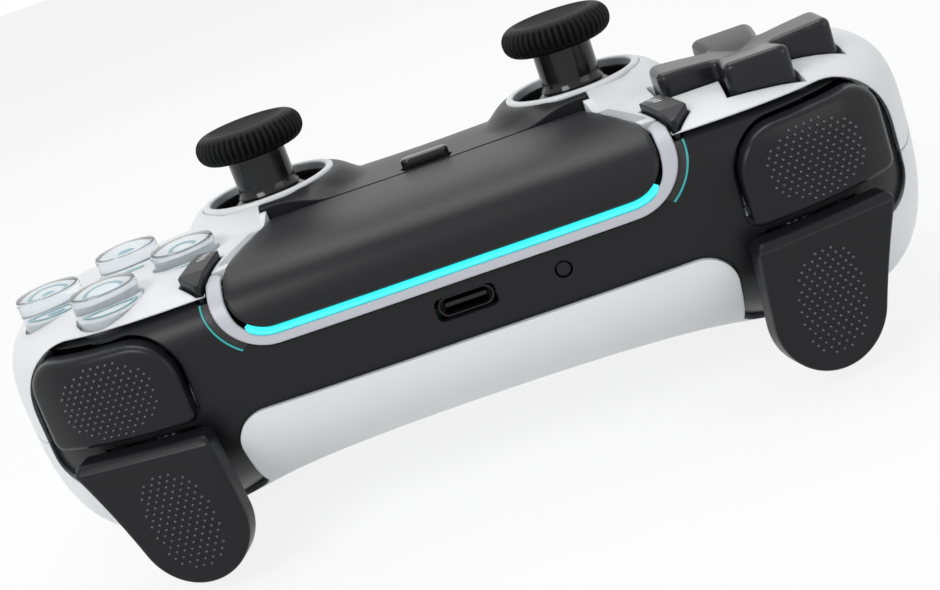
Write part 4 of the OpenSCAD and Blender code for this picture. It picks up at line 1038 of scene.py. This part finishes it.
class GAMEPAD_OT_small_buttons(bpy.types.Operator):
    """Paints the folded side buttons and gives them dashes, models the centre button, paints the reset button
    """
    bl_idname = "gamepad.small_buttons"
    bl_label = "Small buttons"

    def execute(self, context):
        for side, s in (("left", -1), ("right", 1)):
            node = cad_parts["side_button_" + side]
            paint(node, material("key"))
            dashes = []
            for k in (-1, 0, 1):
                x, y = side_point(DASH_AT[0], DASH_AT[1] + DASH_STEP * k)
                x *= s
                hit, at, normal, _ = node.ray_cast(Vector((x, y, 80)) * MM, Vector((0, 0, -1)))
                if not hit:
                    raise RuntimeError("no face under a dash of side_button_" + side)
                ends = [(DASH_HALF * e, DASH_SLOPE * e * s, DASH_R) for e in (-1, 1)]
                dash = prism("dash", around(*ends), "Z", -0.1, 0.06)
                stand(dash, at, normal)
                dashes.append(dash)
            marks = rename(join(*dashes), "side_button_%s_dashes" % side)
            place(marks, "side_button_" + side, "pale_trim", "dash")
        home = prism("home_button_bar", home_outline(0), "Z", HOME_LOW, HOME_TOP)
        apply(home, "BEVEL", width=0.5 * MM, segments=4, limit_method="ANGLE", angle_limit=math.radians(50))
        place(home, "home_button", "black_plastic", "gloss", "home_button", angle=40)
        paint(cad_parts["reset_button"], material("key"))
        return {"FINISHED"}


def round_corners(points, radii, n=6):
    """A closed outline with its corners rounded."""
    p = np.asarray(points, float)
    out = []
    for i in range(len(p)):
        a, b, c = p[i - 1], p[i], p[(i + 1) % len(p)]
        d1, d2 = (a - b) / np.linalg.norm(a - b), (c - b) / np.linalg.norm(c - b)
        half = math.acos(np.clip(d1 @ d2, -1, 1)) / 2
        r = radii[i % len(radii)]
        start, end = b + d1 * r / math.tan(half), b + d2 * r / math.tan(half)
        centre = b + (d1 + d2) / np.linalg.norm(d1 + d2) * r / math.sin(half)
        t0 = math.atan2(*(start - centre)[::-1])
        t1 = math.atan2(*(end - centre)[::-1])
        turn = (t1 - t0 + math.pi) % (2 * math.pi) - math.pi
        for k in range(n + 1):
            t = t0 + turn * k / n
            out.append(centre + r * np.array([math.cos(t), math.sin(t)]))
    return np.array(out)


def resample(outline, n):
    """Points at even steps along a closed outline."""
    loop = np.vstack([outline, outline[:1]])
    run = np.concatenate([[0], np.cumsum(np.linalg.norm(np.diff(loop, axis=0), axis=1))])
    t = np.linspace(0, run[-1], n, endpoint=False)
    return np.stack([np.interp(t, run, loop[:, k]) for k in range(2)], -1)


# Cross pad: height of the arms' ends, hollow, depth and width of the dimple, edge and wall levels
CROSS_TOP, CROSS_HOLLOW, DIMPLE, DIMPLE_R, CROSS_EDGE = FACE_Z + 3.55, 1.35, 0.25, 3.2, 1.25
CROSS_LEVELS = (47.5, 44.0, 42.2)


class GAMEPAD_OT_cross(bpy.types.Operator):
    """Models the cross pad with its hollow top and rounded edges"""
    bl_idname = "gamepad.cross"
    bl_label = "Cross pad"

    def execute(self, context):
        outline = resample(round_corners(cross_outline(0), (0.9, 1.6, 1.6)), 360)
        border = np.vstack([outline, outline[:1]])
        scale = np.concatenate([np.linspace(0.02, 0.86, 26), 1 - 0.14 * np.linspace(1, 0, 12)[1:] ** 1.6])
        rings = scale[:, None, None] * border[None]
        d = nearest(rings, outline)
        r = np.linalg.norm(rings, axis=-1)
        arm = np.max(np.abs(rings), axis=-1)
        hollow = CROSS_HOLLOW * np.clip(1 - arm / CROSS_L, 0, 1) ** 1.4
        top = CROSS_TOP - hollow - DIMPLE * np.exp(-(r / DIMPLE_R) ** 2)
        z = top - rounded(d, CROSS_EDGE)
        grid = np.dstack([rings + [-CLUSTER[0], CLUSTER[1]], z])
        wall = np.stack([np.dstack([border[None] + [-CLUSTER[0], CLUSTER[1]],
                                    np.full((1, len(border)), level)])[0] for level in CROSS_LEVELS])
        cross = grid_sheet("cross_pad_cap", np.concatenate([grid, wall]))
        edit(cross, lambda: bpy.ops.mesh.select_all(action="DESELECT"), bpy.ops.mesh.select_non_manifold,
             lambda: bpy.ops.mesh.fill_holes(sides=0))
        tidy_mesh(cross)
        place(cross, "dpad", "black_plastic", "dpad", "dpad", angle=50)
        return {"FINISHED"}


# Face buttons: foot of the cap and of the core, top of the core, foot and top of the marks
CAP_LOW, CORE_LOW, CORE_TOP, MARK_LOW, MARK_TOP = 42.7, 43.1, 46.45, 46.5, 46.62


class GAMEPAD_OT_face_buttons(bpy.types.Operator):
    """Models the four clear face buttons with a core and a generic mark inside"""
    bl_idname = "gamepad.face_buttons"
    bl_label = "Face buttons"

    def execute(self, context):
        r, top = BUTTON_R, BUTTON_TOP
        crown = 22.0
        edge = 0.7
        brim = top - crown + math.sqrt(crown ** 2 - (r - edge) ** 2)
        profile = [(0, CAP_LOW), (r - 0.2, CAP_LOW), (r, CAP_LOW + 0.2), (r, brim - edge)]
        profile += bend(r - edge, brim - edge, edge, 0, 78, 6)
        profile += [(x, top - crown + math.sqrt(crown ** 2 - x * x))
                    for x in np.linspace(r - edge - 0.5, 0, 10)]
        cap = lathe("button_shape", profile, (0, 0, 0), 96)
        inner = r - 0.75
        core = lathe("core_shape", [(0, CORE_LOW), (inner, CORE_LOW), (inner, CORE_TOP - 0.25),
                                    (inner - 0.25, CORE_TOP), (0, CORE_TOP)], (0, 0, 0), 64)
        marks = {"north": [(3.1, 2.5)], "east": [(3.2, 2.6), (1.0, 0.0)], "south": [(1.3, 0.0)],
                 "west": [(2.2, 1.6)]}
        for name in BUTTON_SPOTS:
            x, y = button_at(name)
            for kind, source, look in (("cap", cap, "clear"), ("core", core, "core")):
                piece = copy_of(source, "button_%s_%s" % (name, kind))
                shift(piece, x, y)
                if kind == "cap":
                    place(piece, "button_" + name, "clear_plastic", look, "button_" + name)
                else:
                    place(piece, "button_" + name, "white_plastic", look)
            rings = [lathe("mark", [(a, MARK_LOW), (a, MARK_TOP), (b, MARK_TOP), (b, MARK_LOW)], (x, y, 0),
                           64, closed=True) for a, b in marks[name]]
            mark = join(*rings) if len(rings) > 1 else rings[0]
            rename(mark, "button_%s_mark" % name)
            place(mark, "button_" + name, "black_plastic", "mark")
        drop(cap, core)
        return {"FINISHED"}


def dot_shape():
    """One low raised dot, a dome of few faces."""
    return lathe("dot", [(0.0, 0.34), (0.15, 0.29), (0.27, 0.16), (0.33, -0.06)], (0, 0, 0), 10)


def scatter(name, source, spots, normals):
    """Copies of a small shape set on a surface and joined."""
    copies = []
    for at, n in zip(spots, normals):
        piece = copy_of(source, "dot_copy")
        stand(piece, np.asarray(at) * MM, n)
        copies.append(piece)
    return rename(join(*copies), name)


def dot_field(rows, cols, pitch_x, pitch_z, power):
    """Staggered places inside a rounded field."""
    return [(j * pitch_x, i * pitch_z) for i in range(-rows, rows + 1) for j in range(-cols, cols + 1)
            if (i + j) % 2 == 0 and abs(i / (rows + 0.4)) ** power + abs(j / (cols + 0.4)) ** power <= 1]


def front_cap(name, outline, surface, way, edge, deep, wall, skin, rear=None):
    """A cap seen from the front: a face on a surface, a rounded edge, walls behind it and a hollow back."""
    border = resample(outline, 240)
    centre = border.mean(0)
    border = np.vstack([border, border[:1]])
    spokes = border - centre
    scale = np.concatenate([np.linspace(0, 0.8, 26), 1 - 0.2 * np.linspace(1, 0, 16)[1:] ** 1.7])
    inner = 1 - wall / np.linalg.norm(spokes, axis=-1, keepdims=True)

    def on_face(flat):
        return np.stack([flat[..., 0], surface(flat[..., 0], flat[..., 1]), flat[..., 1]], -1)

    flat = centre + scale[:, None, None] * spokes
    front = on_face(flat) - way * rounded(nearest(flat, border), edge)[..., None]
    back_scale = np.linspace(1, 0, 8)[:, None, None]
    rim = on_face(border)
    hollow = on_face(centre + inner * spokes)
    sides = [rim - way * k for k in np.linspace(edge, deep, 5)[1:]]
    back = on_face(centre + back_scale * inner * spokes) - way * skin
    rows = np.concatenate([front, sides, [hollow - way * deep], back])
    if rear is not None:
        rows[..., 1] = np.maximum(rows[..., 1], rear)
    return grid_sheet(name, rows)


def surface_table(f, x0, x1, z0, z1, n=90):
    """A front-view surface worked out once on a grid and read between its points."""
    xs, zs = np.linspace(x0, x1, n), np.linspace(z0, z1, n)
    table = f(xs[None] + 0 * zs[:, None], zs[:, None] + 0 * xs[None])

    def read(x, z):
        i = np.clip((z - z0) / (z1 - z0) * (n - 1), 0, n - 1.001)
        j = np.clip((x - x0) / (x1 - x0) * (n - 1), 0, n - 1.001)
        a, b = i.astype(int), j.astype(int)
        v, w = i - a, j - b
        return ((table[a, b] * (1 - w) + table[a, b + 1] * w) * (1 - v)
                + (table[a + 1, b] * (1 - w) + table[a + 1, b + 1] * w) * v)
    return read


def dots_on(name, surface, spots):
    """Raised dots set on a front-view surface."""
    at, way = [], []
    e = 0.1
    for x, z in spots:
        y = surface(np.array([x, x + e, x]), np.array([z, z, z + e]))
        n = np.cross([0, y[2] - y[0], e], [e, y[1] - y[0], 0])
        at.append((x, y[0], z))
        way.append(n / np.linalg.norm(n))
    dot = dot_shape()
    dots = scatter(name, dot, at, way)
    drop(dot)
    return dots


def both_hands(kind, cap, dots):
    """Places the right-hand piece and its mirrored copy, with their dots."""
    for side, flip in (("right", False), ("left", True)):
        body = "%s_%s" % (kind, side)
        place(copy_of(cap, body + "_cap", flip), body, "black_plastic", "key", body, angle=50)
        place(copy_of(dots, body + "_dots", flip), body, "black_plastic", "dot", angle=60)
    drop(cap, dots)


class GAMEPAD_OT_bumpers(bpy.types.Operator):
    """Models the bumpers, with rounded edges and a field of raised dots"""
    bl_idname = "gamepad.bumpers"
    bl_label = "Bumpers"

    def execute(self, context):
        b = BUMPER
        surface = surface_table(lambda x, z: front_y(x, z, -b["proud"]), b["x0"] - 1, b["x0"] + b["w"] + 1,
                                b["z0"] - 1, b["z0"] + b["h"] + 1)
        way = np.array([0.0, 1.0, 0.0])
        cap = front_cap("bumper_shape", bumper_outline(0), surface, way, edge=0.9, deep=4.0, wall=1.6,
                        skin=2.2, rear=37.5)
        spots = [(b["x0"] + 12.0 + dx - 0.1 * dz, b["z0"] + 7.0 + dz)
                 for dx, dz in dot_field(6, 12, 0.63, 0.94, 2.3)]
        both_hands("bumper", cap, dots_on("bumper_dots_shape", surface, spots))
        return {"FINISHED"}


def trigger_y(x, z):
    """Y of the trigger's hollow face, with its top edge bevelled."""
    t = TRIGGER
    mid = (t["top"] + t["low"]) / 2
    bevel = np.clip(z - (t["top"] - t["bevel"]), 0, None)
    deep = t["hollow"] - np.sqrt(t["hollow"] ** 2 - (z - mid) ** 2) - bevel
    c, s = math.cos(math.radians(t["yaw"])), math.sin(math.radians(t["yaw"]))
    along = (x - t["x0"] - deep * s) / c
    return t["y"] - along * s + deep * c


class GAMEPAD_OT_triggers(bpy.types.Operator):
    """Models the triggers, with walls behind the face, a top bevel and raised dots"""
    bl_idname = "gamepad.triggers"
    bl_label = "Triggers"

    def execute(self, context):
        t = TRIGGER
        x1 = t["x0"] + t["w"]
        outline = around((t["x0"] + 1.2, t["top"] - 1.2, 1.2), (x1 - 1.2, t["top"] - 1.2, 1.2), t["tip"])
        yaw = math.radians(t["yaw"])
        way = np.array([math.sin(yaw), math.cos(yaw), 0.0])
        cap = front_cap("trigger_shape", outline, trigger_y, way, edge=0.7, deep=3.6, wall=1.6, skin=2.2)
        spots = [(t["x0"] + 9.0 + dx + 0.06 * dz, 14.0 + dz) for dx, dz in dot_field(8, 8, 0.66, 1.0, 2.4)]
        both_hands("trigger", cap, dots_on("trigger_dots_shape", trigger_y, spots))
        return {"FINISHED"}


CAP_Z, CAP_R, CAP_H, CAP_RIBS = 57.4, 9.7, 5.2, 52
PIVOT_Z, SKIRT_R, SKIRT_LOW, STEM_R, NECK_R = 40.0, 11.4, 7.4, 5.2, 1.9


class GAMEPAD_OT_sticks(bpy.types.Operator):
    """Models the ribbed rubber stick caps and the glossy stems with their skirts"""
    bl_idname = "gamepad.sticks"
    bl_label = "Sticks"

    def execute(self, context):
        edge = 2.5
        low = bend(CAP_R - edge, CAP_Z + edge, edge, -90, 0, 12)
        side = [(CAP_R, z) for z in np.linspace(CAP_Z + edge, CAP_Z + CAP_H - edge, 3)[1:-1]]
        top = bend(CAP_R - edge, CAP_Z + CAP_H - edge, edge, 0, 96, 14)
        dish = [(x, CAP_Z + CAP_H - 0.05 - 1.25 * (1 - (x / (CAP_R - edge - 0.3)) ** 2) ** 0.8)
                for x in np.linspace(CAP_R - edge - 0.5, 0, 14)]
        cap = lathe("cap_shape", [(0, CAP_Z)] + low + side + top + dish, (0, 0, 0), CAP_RIBS * 8)
        co = places(cap) / MM
        r = np.hypot(co[:, 0], co[:, 1])
        turn = np.arctan2(co[:, 1], co[:, 0])
        height = (co[:, 2] - CAP_Z) / CAP_H
        wave = (0.5 + 0.5 * np.cos(turn * CAP_RIBS)) ** 2
        zone = np.clip((height - 0.10) / 0.12, 0, 1) * np.clip((0.93 - height) / 0.14, 0, 1)
        zone *= r > CAP_R - edge - 0.2
        pull = 1 - 0.6 * wave * zone / np.maximum(r, 1)
        co[:, :2] *= pull[:, None]
        set_places(cap, co * MM)
        thin = SKIRT_R - 1.0
        skirt = bend(0, PIVOT_Z, SKIRT_R, math.degrees(math.asin(SKIRT_LOW / SKIRT_R)), 62, 14)
        inner = bend(0, PIVOT_Z, thin, math.degrees(math.asin(SKIRT_LOW / thin)), 75, 10)[::-1]
        foot = skirt[-1]
        stem = [(STEM_R + 0.5, foot[1] + 0.25), (STEM_R + 0.08, foot[1] + 0.9), (STEM_R, foot[1] + 1.6),
                (STEM_R, CAP_Z), (2.2, CAP_Z), (2.2, PIVOT_Z + 9.0)]
        stem_shape = lathe("stem_shape", skirt + stem + inner, (0, 0, 0), 96, closed=True)
        neck = lathe("neck_shape", [(0, PIVOT_Z - 1.8), (NECK_R, PIVOT_Z - 1.8), (NECK_R, CAP_Z), (0, CAP_Z)],
                     (0, 0, 0), 40)
        join(stem_shape, neck)
        for name, s in (("left", -1), ("right", 1)):
            for source, kind, look, slot in ((cap, "cap", "rubber", "black_rubber"),
                                             (stem_shape, "stem", "gloss", "black_plastic")):
                piece = copy_of(source, "stick_%s_%s_piece" % (kind, name))
                shift(piece, s * STICK[0], STICK[1])
                place(piece, "stick_" + name, slot, look, "stick_%s_%s" % (kind, name), angle=45)
        drop(cap, stem_shape)
        return {"FINISHED"}


class GAMEPAD_OT_inner_parts(bpy.types.Operator):
    """Gives the parts inside the case their finishes"""
    bl_idname = "gamepad.inner_parts"
    bl_label = "Inner parts"

    def execute(self, context):
        looks = {
            "steel": ("stick_pin", "stick_bail", "stick_housing", "shoulder_bracket", "pivot_pins",
                      "trigger_springs", "dpad_pivot_ball", "rumble_motor", "rumble_weight", "case_screws"),
            # Glossy black on the whole port, steel shell included: painted shade of the recess it sits in
            "gloss": ("usb_port",),
            "board": ("main_board", "key_boards"),
            "rubber": ("dpad_membrane", "button_membrane", "stick_sensors", "audio_jack"),
            "wrap": ("battery",),
            "key": ("bumper_lever", "trigger_lever", "stick_yoke", "battery_tray"),
        }
        for key, names in looks.items():
            for node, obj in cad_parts.items():
                if any(node == n or node.startswith(n + "_") for n in names) and not (
                        key == "wrap" and node != "battery"):
                    paint(obj, material(key))
        return {"FINISHED"}


# Camera fitted to the photograph: place, then azimuth, elevation and roll in degrees, focal length in pixels
CAMERA_AT, CAMERA_TURN = (-0.0116, 0.2813, 0.1019), (182.64, 16.49, -19.71)
FOCAL, PICTURE, SENSOR = 1600, (940, 590), 36
# Strength of the world's light on the object, and how much of the floor's white is its own
AMBIENT, FLOOR_WHITE = 0.34, 0.84
# Lamps: name, place, size and power
LAMPS = (("key", (0.40, 0.55, 0.55), 0.35, 3.2), ("fill", (-0.6, 0.5, 0.3), 0.5, 1.2),
         ("top", (0.0, -0.25, 0.8), 0.5, 2.6))


class GAMEPAD_OT_stage(bpy.types.Operator):
    """Sets up the pale floor, the studio lights and the camera"""
    bl_idname = "gamepad.stage"
    bl_label = "Stage"

    def execute(self, context):
        scene = bpy.context.scene
        clear_selection()
        bpy.ops.mesh.primitive_plane_add(size=6)
        floor = named("floor")
        f = Finish("pale_floor")
        tone = f.noise(4.0, 2.0)
        base = f.mix(tone, (0.90, 0.90, 0.905, 1), (0.92, 0.92, 0.925, 1))
        diffuse = f.add("ShaderNodeBsdfPrincipled", Base_Color=base, Roughness=0.9)
        glow = f.add("ShaderNodeEmission", Color=(1, 1, 1, 1), Strength=1.0)
        paint(floor, f.close(f.add("ShaderNodeMixShader", at=(FLOOR_WHITE * f.seen(), diffuse, glow))))
        world = bpy.data.worlds.new("studio")
        scene.world = world
        world.use_nodes = True
        tree = world.node_tree
        back = tree.nodes["Background"]
        back.inputs["Color"].default_value = (1, 1, 1, 1)
        feed(tree, back.inputs["Strength"], AMBIENT + (1 - AMBIENT) * Nodes(tree).seen())
        aim = Vector((0, 0.01, 0.035))
        for name, at, size, power in LAMPS:
            data = bpy.data.lights.new(name, "AREA")
            data.energy, data.size = power, size
            lamp = bpy.data.objects.new(name, data)
            lamp.location = at
            lamp.rotation_euler = (aim - Vector(at)).to_track_quat("-Z", "Y").to_euler()
            bpy.context.collection.objects.link(lamp)
        az, el, roll = (math.radians(a) for a in CAMERA_TURN)
        back_way = Vector((math.sin(az) * math.cos(el), -math.cos(az) * math.cos(el), math.sin(el)))
        right = (-back_way).cross(Vector((0, 0, 1))).normalized()
        up = right.cross(-back_way)
        r2 = right * math.cos(roll) + up * math.sin(roll)
        u2 = -right * math.sin(roll) + up * math.cos(roll)
        cam = bpy.data.objects.new("camera", bpy.data.cameras.new("camera"))
        cam.data.sensor_width = SENSOR
        cam.data.lens = FOCAL * SENSOR / PICTURE[0]
        cam.matrix_world = Matrix((r2, u2, back_way)).transposed().to_4x4()
        cam.location = CAMERA_AT
        bpy.context.collection.objects.link(cam)
        scene.camera = cam
        scene.render.resolution_x, scene.render.resolution_y = PICTURE
        scene.view_settings.view_transform = "Standard"
        return {"FINISHED"}


class GamepadLook(bpy.types.PropertyGroup):
    shell_colour: bpy.props.FloatVectorProperty(
        name="Shell colour", description="Colour of the white shells", subtype="COLOR", size=3, min=0, max=1,
        default=(0.76, 0.77, 0.79))
    band_colour: bpy.props.FloatVectorProperty(
        name="Black colour", description="Colour of the black mouldings", subtype="COLOR", size=3,
        min=0, max=1, default=(0.011, 0.011, 0.0125))
    trim_colour: bpy.props.FloatVectorProperty(
        name="Trim colour", description="Colour of the trim round the touchpad", subtype="COLOR", size=3,
        min=0, max=1, default=(0.50, 0.51, 0.56))
    light_colour: bpy.props.FloatVectorProperty(
        name="Light colour", description="Colour of the lit strip", subtype="COLOR", size=3, min=0, max=1,
        default=(0.05, 0.80, 0.82))
    light_strength: bpy.props.FloatProperty(
        name="Light strength", description="Brightness of the lit strip", default=1.0, min=0, max=10)


STEPS = (
    GAMEPAD_OT_shells, GAMEPAD_OT_band, GAMEPAD_OT_bezel, GAMEPAD_OT_touchpad, GAMEPAD_OT_small_buttons,
    GAMEPAD_OT_cross, GAMEPAD_OT_face_buttons, GAMEPAD_OT_bumpers, GAMEPAD_OT_triggers, GAMEPAD_OT_sticks,
    GAMEPAD_OT_inner_parts, GAMEPAD_OT_stage,
)


class GAMEPAD_PT_panel(bpy.types.Panel):
    """Lists the gamepad's pieces and colours"""
    bl_idname = "GAMEPAD_PT_panel"
    bl_label = "Gamepad"
    bl_space_type = "VIEW_3D"
    bl_region_type = "UI"
    bl_category = "Gamepad"

    def draw(self, context):
        look = context.scene.gamepad_look
        for key in ("shell_colour", "band_colour", "trim_colour", "light_colour", "light_strength"):
            self.layout.prop(look, key)
        for step in STEPS:
            self.layout.operator(step.bl_idname)


CLASSES = (GamepadLook,) + STEPS + (GAMEPAD_PT_panel,)


def register():
    for c in CLASSES:
        bpy.utils.register_class(c)
    bpy.types.Scene.gamepad_look = bpy.props.PointerProperty(type=GamepadLook)


def unregister():
    del bpy.types.Scene.gamepad_look
    for c in reversed(CLASSES):
        bpy.utils.unregister_class(c)


def main():
    register()
    for step in STEPS:
        group, name = step.bl_idname.split(".")
        getattr(getattr(bpy.ops, group), name)()


if __name__ == "__main__":
    main()
